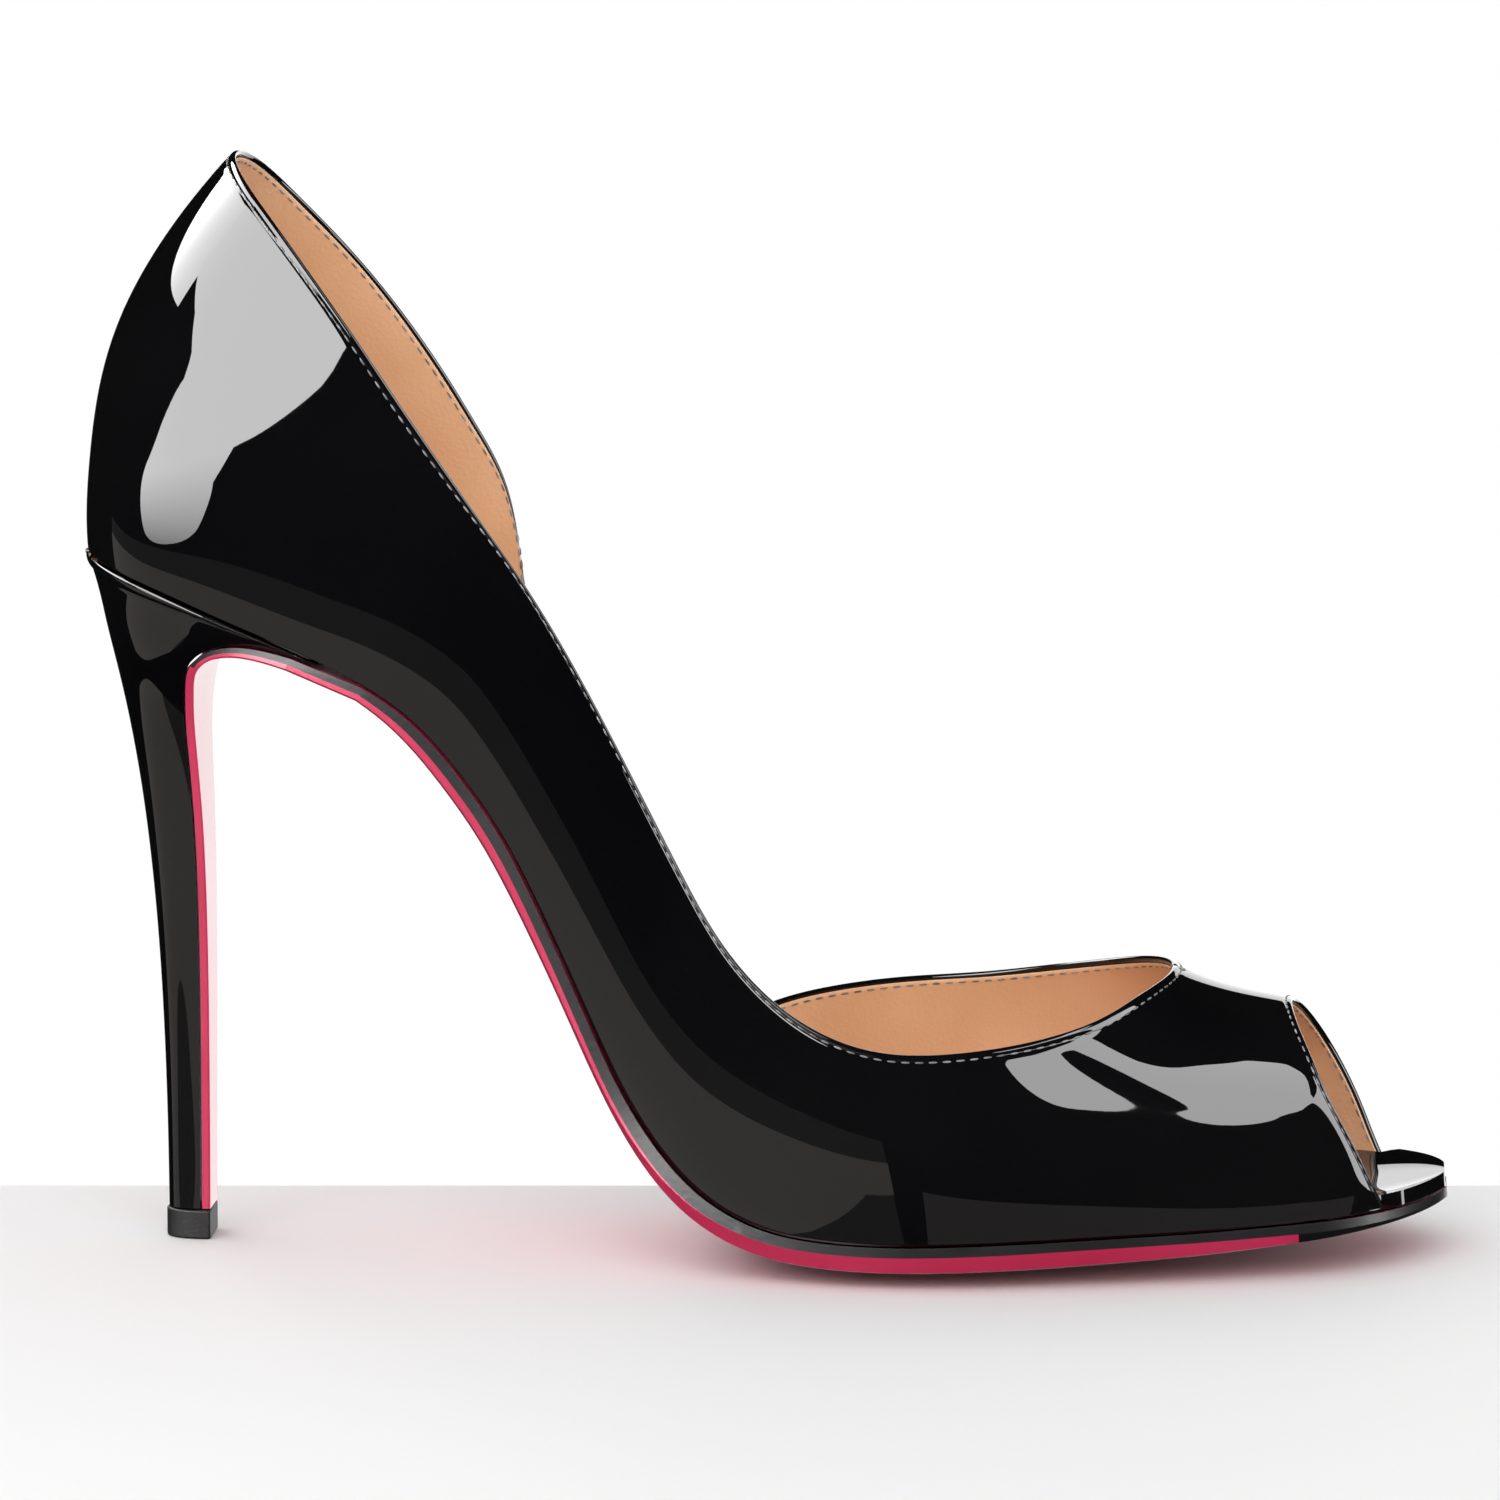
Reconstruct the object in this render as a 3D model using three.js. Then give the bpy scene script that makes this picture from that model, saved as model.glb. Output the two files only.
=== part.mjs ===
// A peep toe pump for the right foot, with a tall slim heel and a low cut inner side.
// Millimetres. +X points to the toe, +Y to the inner (big toe) side and +Z up from the floor.
// The origin is on the floor, at the middle of the heel's tip.
//
// The upper follows a last: a row of oval sections that turn from upright at the toe to level at the ankle.
// Each section stands on a straight line in the side view, from the keel (under the foot or behind the heel)
// to the crown (the top of the vamp or the instep).
import * as THREE from "three";

// Driving sizes
const LENGTH = 222; // back of the counter to the toe tip, along the floor
const HEEL_OVERHANG = 15.9; // the counter's back, behind the middle of the heel's tip
const HEEL_HEIGHT = 112; // rise of the seat's back above the ball
const BACK_HEIGHT = 66.5; // the topline's peak above the heel height
const VAMP_HEIGHT = 47; // floor to the top of the vamp at the throat
const BALL_WIDTH = 76;
const TOE_SPRING = 4.6;
const WALL = 1.4; // the upper's leather and lining
const SOLE = 3.8; // the outsole at the ball
const CAMBER = 3.9; // the rise of the outsole's edges above its middle at the ball
const FLAT_SPOT = 0.35; // how deep the ball is flattened where it rests
const DIP_FLAT = 0.3; // the share of the width over which the bed is level
const BREAST = 1.35; // the outsole down the front of the heel
const EDGE_BEVEL = 2.6; // the width of the bevel under the upright band of the outsole's edge
const INSOLE = 2.4;
const SOCK = 0.8;
const SOCK_INSET = 0.7; // the sock's edge inside the insole's
const TOE_BARE = 16; // the bare end of the insole in front of the sock
const LEDGE = 0.6; // how far the outsole stands out from the upper's lower edge
const GAP = 0.3; // between pieces that are cemented together
const SIDE_ROOM = 0.6; // between the insole's edge and the upper's inside
const TIP_HEIGHT = 4.7;
const TIP_LENGTH = 7.7;
const TIP_LEDGE = 0.4; // how far the tip stands out from the heel's sides
const HEEL_LEDGE = 0.5; // how far the heel's rim stands out from the counter
const HEEL_WING = 0.184; // the front end of the heel's seat, a share of LENGTH from the back

// The last's sections from the toe to the ankle. keel and crown are the section's two ends: a share of LENGTH
// from the back of the counter, then a share of HEEL_HEIGHT plus a share of VAMP_HEIGHT above the floor.
// half is the half width and swing the shift of its middle to the inner side, both as shares of BALL_WIDTH.
// wide is where the section is widest, as a share from keel to crown, and square how full its corners are.
const LAST = [
  { keel: [1.0, 0, 0.09], crown: [1.002, 0, 0.3], half: 0.3, swing: 0.06, wide: 0.5, square: 0.05 },
  { keel: [0.971, 0, 0.0], crown: [0.967, 0, 0.6], half: 0.325, swing: 0.045, wide: 0.48, square: 0.05 },
  { keel: [0.93, 0, -0.07], crown: [0.922, 0, 0.81], half: 0.347, swing: 0.028, wide: 0.46, square: 0.05 },
  { keel: [0.877, 0, -0.11], crown: [0.872, 0, 0.885], half: 0.384, swing: 0.014, wide: 0.44, square: 0.05 },
  { keel: [0.815, 0, -0.13], crown: [0.812, 0, 0.965], half: 0.43, swing: 0.004, wide: 0.42, square: 0.05 },
  { keel: [0.745, 0, -0.15], crown: [0.749, 0, 1.15], half: 0.472, swing: -0.006, wide: 0.39, square: 0.05 },
  { keel: [0.669, 0, -0.17], crown: [0.688, 0.02, 1.33], half: 0.508, swing: -0.016, wide: 0.36, square: 0.05 },
  { keel: [0.588, 0.0, -0.18], crown: [0.631, 0.1, 1.4], half: 0.518, swing: -0.026, wide: 0.35, square: 0.05 },
  { keel: [0.508, 0.02, -0.15], crown: [0.579, 0.24, 1.37], half: 0.482, swing: -0.042, wide: 0.37, square: 0.05 },
  { keel: [0.434, 0.09, -0.13], crown: [0.533, 0.38, 1.33], half: 0.42, swing: -0.055, wide: 0.41, square: 0.05 },
  { keel: [0.37, 0.26, -0.13], crown: [0.495, 0.52, 1.29], half: 0.368, swing: -0.05, wide: 0.45, square: 0.05 },
  { keel: [0.307, 0.47, -0.16], crown: [0.465, 0.66, 1.24], half: 0.345, swing: -0.035, wide: 0.47, square: 0.05 },
  { keel: [0.221, 0.67, -0.2], crown: [0.443, 0.78, 1.2], half: 0.343, swing: -0.015, wide: 0.47, square: 0.055 },
  { keel: [0.098, 0.82, -0.2], crown: [0.428, 0.88, 1.17], half: 0.348, swing: -0.003, wide: 0.45, square: 0.06 },
  { keel: [0.013, 0.94, -0.04], crown: [0.419, 0.95, 1.2], half: 0.345, swing: 0.0, wide: 0.45, square: 0.06 },
  { keel: [0.004, 1.0, 0.35], crown: [0.414, 1.0, 1.28], half: 0.335, swing: 0.0, wide: 0.46, square: 0.06 },
  { keel: [0.0315, 1.0, 0.88], crown: [0.411, 1.0, 1.45], half: 0.32, swing: 0.0, wide: 0.48, square: 0.06 },
  { keel: [0.1135, 1.0, 1.42], crown: [0.409, 1.0, 1.65], half: 0.29, swing: 0.0, wide: 0.5, square: 0.05 },
  { keel: [0.22, 1.0, 1.85], crown: [0.408, 1.0, 1.92], half: 0.25, swing: 0.0, wide: 0.5, square: 0.05 },
];
const TOE_CAP = 0.1; // the toe's outline rounds to its tip over this share of LENGTH

// The lower edge of the upper in the side view, from the toe to behind the heel. lift is a share of
// HEEL_HEIGHT and spring of TOE_SPRING, both above the ball. dip is the outsole's camber as a share of CAMBER
// and thick its thickness as a share of SOLE. band is the upright part of the outsole's edge, a share of its
// thickness.
const SEAT = [
  { along: 1.004, lift: 0, spring: 0.728, dip: 0.15, thick: 0.37, band: 0.85 },
  { along: 0.954, lift: 0, spring: 0.565, dip: 0.35, thick: 0.54, band: 0.7 },
  { along: 0.893, lift: 0, spring: 0.446, dip: 0.6, thick: 0.75, band: 0.55 },
  { along: 0.821, lift: 0, spring: 0.293, dip: 0.85, thick: 0.855, band: 0.46 },
  { along: 0.75, lift: 0, spring: 0.19, dip: 0.96, thick: 0.95, band: 0.42 },
  { along: 0.679, lift: 0, spring: 0.08, dip: 1, thick: 1, band: 0.42 },
  { along: 0.608, lift: 0, spring: 0, dip: 1, thick: 1, band: 0.42 },
  { along: 0.56, lift: 0.0015, spring: 0, dip: 0.96, thick: 1, band: 0.42 },
  { along: 0.52, lift: 0.0092, spring: 0, dip: 0.86, thick: 1, band: 0.45 },
  { along: 0.487, lift: 0.0295, spring: 0, dip: 0.7, thick: 1, band: 0.5 },
  { along: 0.458, lift: 0.0644, spring: 0, dip: 0.52, thick: 0.96, band: 0.6 },
  { along: 0.43, lift: 0.1208, spring: 0, dip: 0.35, thick: 0.87, band: 0.7 },
  { along: 0.402, lift: 0.2052, spring: 0, dip: 0.2, thick: 0.76, band: 0.78 },
  { along: 0.374, lift: 0.3228, spring: 0, dip: 0.1, thick: 0.76, band: 0.8 },
  { along: 0.345, lift: 0.4495, spring: 0, dip: 0.04, thick: 0.84, band: 0.8 },
  { along: 0.316, lift: 0.5627, spring: 0, dip: 0, thick: 0.92, band: 0.8 },
  { along: 0.286, lift: 0.6495, spring: 0, dip: 0, thick: 0.92, band: 0.8 },
  { along: 0.256, lift: 0.7178, spring: 0, dip: 0, thick: 0.85, band: 0.8 },
  { along: 0.219, lift: 0.7723, spring: 0, dip: 0, thick: 0.66, band: 0.8 },
  { along: 0.171, lift: 0.8192, spring: 0, dip: 0, thick: 0.5, band: 0.8 },
  { along: 0.12, lift: 0.8604, spring: 0, dip: 0, thick: 0.45, band: 0.8 },
  { along: 0.075, lift: 0.8964, spring: 0, dip: 0, thick: 0.5, band: 0.8 },
  { along: 0.03, lift: 0.9284, spring: 0, dip: 0, thick: 0.5, band: 0.8 },
  { along: -0.012, lift: 0.9554, spring: 0, dip: 0, thick: 0.5, band: 0.8 },
  { along: -0.06, lift: 0.9844, spring: 0, dip: 0, thick: 0.5, band: 0.8 },
];

// The topline from the throat to the peak in the side view, as LAST gives its ends, plus a share of BACK_HEIGHT
const TOPLINE = {
  outer: [
    { along: 0.802, lift: 0, up: 1.0, rise: 0 },
    { along: 0.776, lift: 0, up: 0.962, rise: 0 },
    { along: 0.748, lift: 0, up: 0.906, rise: 0 },
    { along: 0.706, lift: 0, up: 0.855, rise: 0 },
    { along: 0.655, lift: 0, up: 0.823, rise: 0 },
    { along: 0.603, lift: 0, up: 0.82, rise: 0 },
    { along: 0.558, lift: 0.03, up: 0.8, rise: 0 },
    { along: 0.516, lift: 0.079, up: 0.8, rise: 0 },
    { along: 0.478, lift: 0.158, up: 0.8, rise: 0 },
    { along: 0.448, lift: 0.255, up: 0.8, rise: 0 },
    { along: 0.418, lift: 0.366, up: 0.8, rise: 0 },
    { along: 0.389, lift: 0.474, up: 0.8, rise: 0 },
    { along: 0.36, lift: 0.576, up: 0.8, rise: 0 },
    { along: 0.331, lift: 1.0, up: 0, rise: 0.005 },
    { along: 0.302, lift: 1.0, up: 0, rise: 0.142 },
    { along: 0.273, lift: 1.0, up: 0, rise: 0.28 },
    { along: 0.245, lift: 1.0, up: 0, rise: 0.416 },
    { along: 0.218, lift: 1.0, up: 0, rise: 0.55 },
    { along: 0.195, lift: 1.0, up: 0, rise: 0.659 },
    { along: 0.172, lift: 1.0, up: 0, rise: 0.764 },
    { along: 0.145, lift: 1.0, up: 0, rise: 0.878 },
    { along: 0.1125, lift: 1.0, up: 0, rise: 1.0 },
  ],
  inner: [
    { along: 0.802, lift: 0, up: 1.0, rise: 0 },
    { along: 0.779, lift: 0, up: 0.968, rise: 0 },
    { along: 0.742, lift: 0, up: 0.92, rise: 0 },
    { along: 0.7, lift: 0, up: 0.878, rise: 0 },
    { along: 0.65, lift: 0, up: 0.84, rise: 0 },
    { along: 0.595, lift: 0, up: 0.818, rise: 0 },
    { along: 0.542, lift: 0, up: 0.79, rise: 0 },
    { along: 0.493, lift: 0, up: 0.738, rise: 0 },
    { along: 0.453, lift: 0.03, up: 0.61, rise: 0 },
    { along: 0.418, lift: 0.134, up: 0.47, rise: 0 },
    { along: 0.388, lift: 0.272, up: 0.37, rise: 0 },
    { along: 0.36, lift: 0.402, up: 0.34, rise: 0 },
    { along: 0.334, lift: 0.525, up: 0.34, rise: 0 },
    { along: 0.3165, lift: 0.635, up: 0.34, rise: 0 },
    { along: 0.31, lift: 0.745, up: 0.34, rise: 0 },
    { along: 0.3085, lift: 0.84, up: 0.34, rise: 0 },
    { along: 0.298, lift: 1.0, up: 0, rise: 0.149 },
    { along: 0.277, lift: 1.0, up: 0, rise: 0.29 },
    { along: 0.248, lift: 1.0, up: 0, rise: 0.447 },
    { along: 0.213, lift: 1.0, up: 0, rise: 0.61 },
    { along: 0.178, lift: 1.0, up: 0, rise: 0.75 },
    { along: 0.147, lift: 1.0, up: 0, rise: 0.864 },
    { along: 0.1125, lift: 1.0, up: 0, rise: 1.0 },
  ],
};

// The toe opening's edge from the ridge down to the seat line in the side view. The last row's up is
// replaced by the seat line's own height.
const TOE_OPENING = {
  outer: [
    { along: 0.886, up: 0.87 },
    { along: 0.8925, up: 0.815 },
    { along: 0.901, up: 0.74 },
    { along: 0.915, up: 0.605 },
    { along: 0.93, up: 0.47 },
    { along: 0.944, up: 0.332 },
    { along: 0.955, up: 0 },
  ],
  inner: [
    { along: 0.886, up: 0.87 },
    { along: 0.8955, up: 0.8 },
    { along: 0.9065, up: 0.715 },
    { along: 0.9215, up: 0.588 },
    { along: 0.9365, up: 0.442 },
    { along: 0.948, up: 0.31 },
    { along: 0.957, up: 0 },
  ],
};

// The heel's sections from its foot to its seat. back and front are the ends in the side view, a share of
// HEEL_OVERHANG from the middle of the tip and of HEEL_HEIGHT above it. half is a share of BALL_WIDTH.
const HEEL = [
  { back: [-0.214, 0], front: [0.1415, 0], half: 0.057 },
  { back: [-0.23, 0.175], front: [0.15, 0.175], half: 0.062 },
  { back: [-0.29, 0.385], front: [0.154, 0.385], half: 0.075 },
  { back: [-0.41, 0.575], front: [0.13, 0.575], half: 0.098 },
  { back: [-0.552, 0.71], front: [0.085, 0.707], half: 0.134 },
  { back: [-0.68, 0.8], front: [0.105, 0.775], half: 0.182 },
  { back: [-0.786, 0.867], front: [0.235, 0.826], half: 0.236 },
  { back: [-0.872, 0.92], front: [0.75, 0.851], half: 0.286 },
];

// How many steps each surface is cut into
const STEPS = { collar: 46, opening: 9, wall: 10, length: 46, arch: 24, width: 8, heel: 22, heelRound: 12 };
const FRONT_SHARE = 0.14; // the share of the topline that faces the toe opening

const clamp = (value, low, high) => Math.min(high, Math.max(low, value));
const mix = (a, b, t) => a + (b - a) * t;
const along = (share) => share * LENGTH - HEEL_OVERHANG;
const height = (lift, up = 0, rise = 0) => lift * HEEL_HEIGHT + up * VAMP_HEIGHT + rise * BACK_HEIGHT;

// A smooth curve through equally spaced values, run from 0 to 1: a natural cubic spline.
function smooth(values) {
  const n = values.length;
  const bend = new Array(n).fill(0);
  const c = new Array(n).fill(0);
  const d = new Array(n).fill(0);
  for (let i = 1; i < n - 1; i++) {
    const k = 4 - c[i - 1];
    c[i] = 1 / k;
    d[i] = (6 * (values[i + 1] - 2 * values[i] + values[i - 1]) - d[i - 1]) / k;
  }
  for (let i = n - 2; i > 0; i--) bend[i] = d[i] - c[i] * bend[i + 1];
  return (u) => {
    const t = clamp(u, 0, 1) * (n - 1);
    const i = Math.min(n - 2, Math.floor(t));
    const f = t - i;
    const g = 1 - f;
    return g * values[i] + f * values[i + 1] + ((g ** 3 - g) * bend[i] + (f ** 3 - f) * bend[i + 1]) / 6;
  };
}

// A smooth curve through points {x, z} of the side view.
function sideCurve(points) {
  const x = smooth(points.map((p) => p.x));
  const z = smooth(points.map((p) => p.z));
  return (u) => ({ x: x(u), z: z(u) });
}

// The place from 0 to 1 where a rising function passes 0.
function crossing(rising) {
  let low = 0;
  let high = 1;
  for (let i = 0; i < 40; i++) {
    const middle = (low + high) / 2;
    if (rising(middle) < 0) low = middle;
    else high = middle;
  }
  return (low + high) / 2;
}

// The last

const lastEnd = (end) =>
  sideCurve(LAST.map((row) => ({ x: along(row[end][0]), z: height(row[end][1], row[end][2]) })));
const lastTable = (column, size) => smooth(LAST.map((row) => row[column] * size));
const last = {
  keel: lastEnd("keel"),
  crown: lastEnd("crown"),
  half: lastTable("half", BALL_WIDTH),
  swing: lastTable("swing", BALL_WIDTH),
  wide: lastTable("wide", 1),
  square: lastTable("square", 1),
};

// A section's narrowing towards the tip: 0 at the tip and 1 behind the rounded end.
function toeCap(u) {
  const back = clamp((along(1) - last.keel(u).x) / (TOE_CAP * LENGTH), 0, 1);
  return Math.sqrt(1 - (1 - back) ** 2);
}

// A point of the last. turn runs round a section: 0 at the crown, PI at the keel, positive on the outer side.
function lastPoint(u, turn) {
  const keel = last.keel(u);
  const crown = last.crown(u);
  const full = last.square(u);
  const share = (1 + Math.cos(turn)) / 2 + (last.wide(u) - 0.5) * Math.sin(turn) ** 2;
  const out = (Math.sin(turn) + full * Math.sin(3 * turn)) / (1 - full);
  return new THREE.Vector3(
    mix(keel.x, crown.x, share),
    last.swing(u) - last.half(u) * toeCap(u) * out,
    mix(keel.z, crown.z, share),
  );
}

function lastNormal(u, turn) {
  const step = 1e-4;
  const lengthwise = lastPoint(Math.min(1, u + step), turn).sub(lastPoint(Math.max(0, u - step), turn));
  const around = lastPoint(u, turn + step).sub(lastPoint(u, turn - step));
  return lengthwise.cross(around).normalize();
}

// Where a point of the side view lies on the last: its section u, the share from keel to crown and the turn.
function onLast(p) {
  const u = crossing((trial) => {
    const keel = last.keel(trial);
    const crown = last.crown(trial);
    return (crown.z - keel.z) * (p.x - keel.x) - (crown.x - keel.x) * (p.z - keel.z);
  });
  const keel = last.keel(u);
  const [dx, dz] = [last.crown(u).x - keel.x, last.crown(u).z - keel.z];
  const share = clamp((dx * (p.x - keel.x) + dz * (p.z - keel.z)) / (dx * dx + dz * dz), 0, 1);
  const lean = last.wide(u) - 0.5;
  const level = 2 * share - 1;
  const cosine =
    Math.abs(lean) < 1e-6 ? level : (0.5 - Math.sqrt(0.25 - 2 * lean * (level - 2 * lean))) / (2 * lean);
  return { u, share, turn: Math.acos(clamp(cosine, -1, 1)) };
}

// The seat line and the outline of the foot's bed

const seat = sideCurve(
  SEAT.map((row) => ({
    x: along(row.along),
    z: SOLE + CAMBER + GAP - FLAT_SPOT + height(row.lift) + row.spring * TOE_SPRING,
  })),
);
const dipAlong = smooth(SEAT.map((row) => row.dip * CAMBER));
const thickAlong = smooth(SEAT.map((row) => row.thick * SOLE));
const bandAlong = smooth(SEAT.map((row) => row.band));
const seatAt = (x) => crossing((v) => x - seat(v).x);
const SEAT_TIP = seatAt(along(1) - 0.01);
const SEAT_BACK = crossing((v) => (v < 0.8 ? -1 : 1e-7 - onLast(seat(v)).share));
const SEAT_WING = seatAt(along(HEEL_WING));

// The unit vector in the side view at right angles to the seat line, away from the floor.
function seatUp(v) {
  const step = 1e-4;
  const a = seat(Math.max(0, v - step));
  const b = seat(Math.min(1, v + step));
  const length = Math.hypot(b.x - a.x, b.z - a.z);
  return { x: (b.z - a.z) / length, z: (a.x - b.x) / length };
}

// The length of the seat line for a step of v.
function seatPace(v) {
  const step = 1e-4;
  const a = seat(v - step);
  const b = seat(v + step);
  return Math.hypot(b.x - a.x, b.z - a.z) / (2 * step);
}

// The outer (side 1) or inner (side -1) edge of the bed at v.
function bedEdge(v, side) {
  const { u, turn } = onLast(seat(clamp(v, SEAT_TIP, SEAT_BACK)));
  return lastPoint(u, side * turn).y;
}

// The bed's outline moved inwards: w runs from 0 at the tip to 1 at the back. Gives the seat place v and y.
function outline(w, side, inset) {
  const at = (q) => {
    const share = (1 - Math.cos(Math.PI * q)) / 2;
    const flip = q < 0 || q > 1 ? -side : side;
    const v = mix(SEAT_TIP, SEAT_BACK, share);
    return { v, y: bedEdge(v, flip) };
  };
  const here = at(w);
  const before = at(w - 0.004);
  const after = at(w + 0.004);
  const pace = seatPace(here.v);
  const ds = (after.v - before.v) * pace;
  const dy = after.y - before.y;
  const length = Math.hypot(ds, dy) || 1;
  return { v: here.v - (side * dy * inset) / length / pace, y: here.y + (side * ds * inset) / length };
}

// The share of the dip at y, between the edges low and high: nothing at an edge and all of it in the middle.
function dipShare(y, low, high) {
  const across = Math.abs((2 * y - low - high) / (high - low));
  return 1 - clamp((across - DIP_FLAT) / (1 - DIP_FLAT), 0, 1) ** 2;
}

// Solids

function solid(points, index) {
  const geometry = new THREE.BufferGeometry();
  geometry.setAttribute("position", new THREE.Float32BufferAttribute(points.flatMap((p) => [p.x, p.y, p.z]), 3));
  geometry.setIndex(index);
  geometry.computeVertexNormals();
  return geometry;
}

// A closed body through rings of points, each with the same count. An end is closed by strips across its ring.
function loft(rings, closed = false) {
  const n = rings[0].length;
  const index = [];
  const spans = closed ? rings.length : rings.length - 1;
  for (let i = 0; i < spans; i++)
    for (let j = 0; j < n; j++) {
      const [a, b] = [i * n + j, i * n + ((j + 1) % n)];
      const [d, c] = [((i + 1) % rings.length) * n + j, ((i + 1) % rings.length) * n + ((j + 1) % n)];
      index.push(a, b, c, a, c, d);
    }
  const cap = (start, flip) => {
    for (let j = 0; j < n / 2 - 1; j++) {
      const [a, b, c, d] = [j, j + 1, n - 1 - j, n - 2 - j];
      for (const [p, q, r] of [[a, c, b], [b, c, d]])
        if (new Set([p, q, r]).size === 3) index.push(start + p, start + (flip ? r : q), start + (flip ? q : r));
    }
  };
  if (!closed) {
    cap(0, false);
    cap((rings.length - 1) * n, true);
  }
  return solid(rings.flat(), index);
}

// The upper

// Places on the last at equal distances along a line. place(w) gives {u, turn} for w from 0 to 1.
function evenly(place, count) {
  const fine = 300;
  const lengths = [0];
  let before;
  for (let i = 0; i <= fine; i++) {
    const { u, turn } = place(i / fine);
    const here = lastPoint(u, turn);
    if (before) lengths.push(lengths[i - 1] + here.distanceTo(before));
    before = here;
  }
  return Array.from({ length: count + 1 }, (_, k) => {
    const target = (lengths[fine] * k) / count;
    const i = Math.max(1, lengths.findIndex((length) => length >= target - 1e-9));
    return place((i - 1 + (target - lengths[i - 1]) / (lengths[i] - lengths[i - 1])) / fine);
  });
}

// A line on the last from its points in the side view. Its ends are put on the crown or the keel if asked.
function lineOnLast(rows, startTurn, endTurn) {
  const line = sideCurve(rows);
  return (w) => {
    const p = onLast(line(w));
    if (w <= 0 && startTurn !== undefined) p.turn = startTurn;
    if (w >= 1 && endTurn !== undefined) p.turn = endTurn;
    return p;
  };
}

// One half of the upper's wall: lines from the topline to the lower edge, each a row of {u, turn}.
function wallLines(side) {
  const topline = lineOnLast(
    TOPLINE[side].map((row) => ({ x: along(row.along), z: height(row.lift, row.up, row.rise) })),
    0,
    Math.PI,
  );
  const corner = seatAt(along(TOE_OPENING[side].at(-1).along));
  const ridge = onLast({ x: along(TOE_OPENING[side][0].along), z: height(0, TOE_OPENING[side][0].up) }).u;
  const opening = lineOnLast(
    [
      { x: last.crown(ridge).x, z: last.crown(ridge).z },
      ...TOE_OPENING[side].slice(1, -1).map((row) => ({ x: along(row.along), z: height(0, row.up) })),
      seat(corner),
    ],
    0,
  );
  const feather = (w) => {
    const p = onLast(seat(mix(corner, SEAT_BACK, 1 - (1 - w) ** 1.5)));
    return w >= 1 ? { ...p, turn: Math.PI } : p;
  };
  const tops = [
    ...evenly((w) => topline(w * FRONT_SHARE), STEPS.opening),
    ...evenly((w) => topline(mix(FRONT_SHARE, 1, w)), STEPS.collar).slice(1),
  ];
  const lows = [...evenly(opening, STEPS.opening), ...evenly(feather, STEPS.collar).slice(1)];
  const sign = side === "outer" ? 1 : -1;
  return tops.map((top, k) =>
    Array.from({ length: STEPS.wall + 1 }, (_, i) => ({
      u: mix(top.u, lows[k].u, i / STEPS.wall),
      turn: sign * mix(top.turn, lows[k].turn, i / STEPS.wall),
    })),
  );
}

function upper() {
  const lines = [...wallLines("outer").slice(1, -1).reverse(), ...wallLines("inner")];
  const rings = lines.map((line) => {
    const outside = line.map(({ u, turn }) => lastPoint(u, turn));
    const inside = line.map(({ u, turn }, i) => outside[i].clone().addScaledVector(lastNormal(u, turn), -WALL));
    return [...outside, ...inside.reverse()];
  });
  return loft(rings, true);
}

// The insole and the sock: sheets on the bed. inset(v) moves the edge in and low and high are the faces' heights.
function bedSheet(from, to, inset, low, high) {
  const rings = [];
  for (let i = 0; i <= STEPS.length; i++) {
    const w = mix(from, to, i / STEPS.length);
    const share = (1 - Math.cos(Math.PI * w)) / 2;
    const room = inset(mix(SEAT_TIP, SEAT_BACK, share));
    const [outer, inner] = [outline(w, 1, room), outline(w, -1, room)];
    const row = Array.from({ length: STEPS.width + 1 }, (_, j) => {
      const t = j / STEPS.width;
      return { v: mix(outer.v, inner.v, t), y: mix(outer.y, inner.y, t) };
    });
    const face = (level) =>
      row.map(({ v, y }) => {
        const p = seat(v);
        const up = seatUp(v);
        const h = level - dipAlong(v) * dipShare(y, bedEdge(v, 1), bedEdge(v, -1));
        return new THREE.Vector3(p.x + up.x * h, y, p.z + up.z * h);
      });
    rings.push([...face(high), ...face(low).reverse()]);
  }
  return loft(rings);
}

const TOE_CORNER = seatAt(along(TOE_OPENING.inner.at(-1).along) + 0.5);
const TOE_FREE = seatAt(along(TOE_OPENING.inner.at(-1).along) + 1.8);
const insideRoom = (v) => {
  const inside = clamp((v - TOE_FREE) / (TOE_CORNER - TOE_FREE), 0, 1);
  return mix(0.1, WALL + SIDE_ROOM, inside * inside * (3 - 2 * inside));
};

function insole() {
  return bedSheet(0.012, 0.988, insideRoom, 0, INSOLE);
}

function sock() {
  const bare = (v) => {
    const front = clamp((seat(v).x - along(1) + 2 * TOE_BARE) / TOE_BARE, 0, 1);
    return mix(WALL + SIDE_ROOM + SOCK_INSET, TOE_BARE, front * front * (3 - 2 * front));
  };
  return bedSheet(0.02, 0.98, bare, INSOLE + GAP, INSOLE + GAP + SOCK);
}

// The heel and the outsole

const underSeat = (v, depth) => ({ x: seat(v).x - seatUp(v).x * depth, z: seat(v).z - seatUp(v).z * depth });
const heelEnd = (end) =>
  HEEL.map((row) => ({ x: row[end][0] * HEEL_OVERHANG, z: TIP_HEIGHT + GAP + row[end][1] * HEEL_HEIGHT }));
const wing = {
  half: (bedEdge(SEAT_WING, -1) - bedEdge(SEAT_WING, 1)) / 2 + HEEL_LEDGE,
  middle: (bedEdge(SEAT_WING, -1) + bedEdge(SEAT_WING, 1)) / 2,
};
const heelFront = sideCurve([...heelEnd("front"), underSeat(SEAT_WING, GAP)]);
const heelHalf = smooth([...HEEL.map((row) => row.half * BALL_WIDTH), wing.half]);
const heelMiddle = smooth([...HEEL.map(() => 0), wing.middle]);

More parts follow.
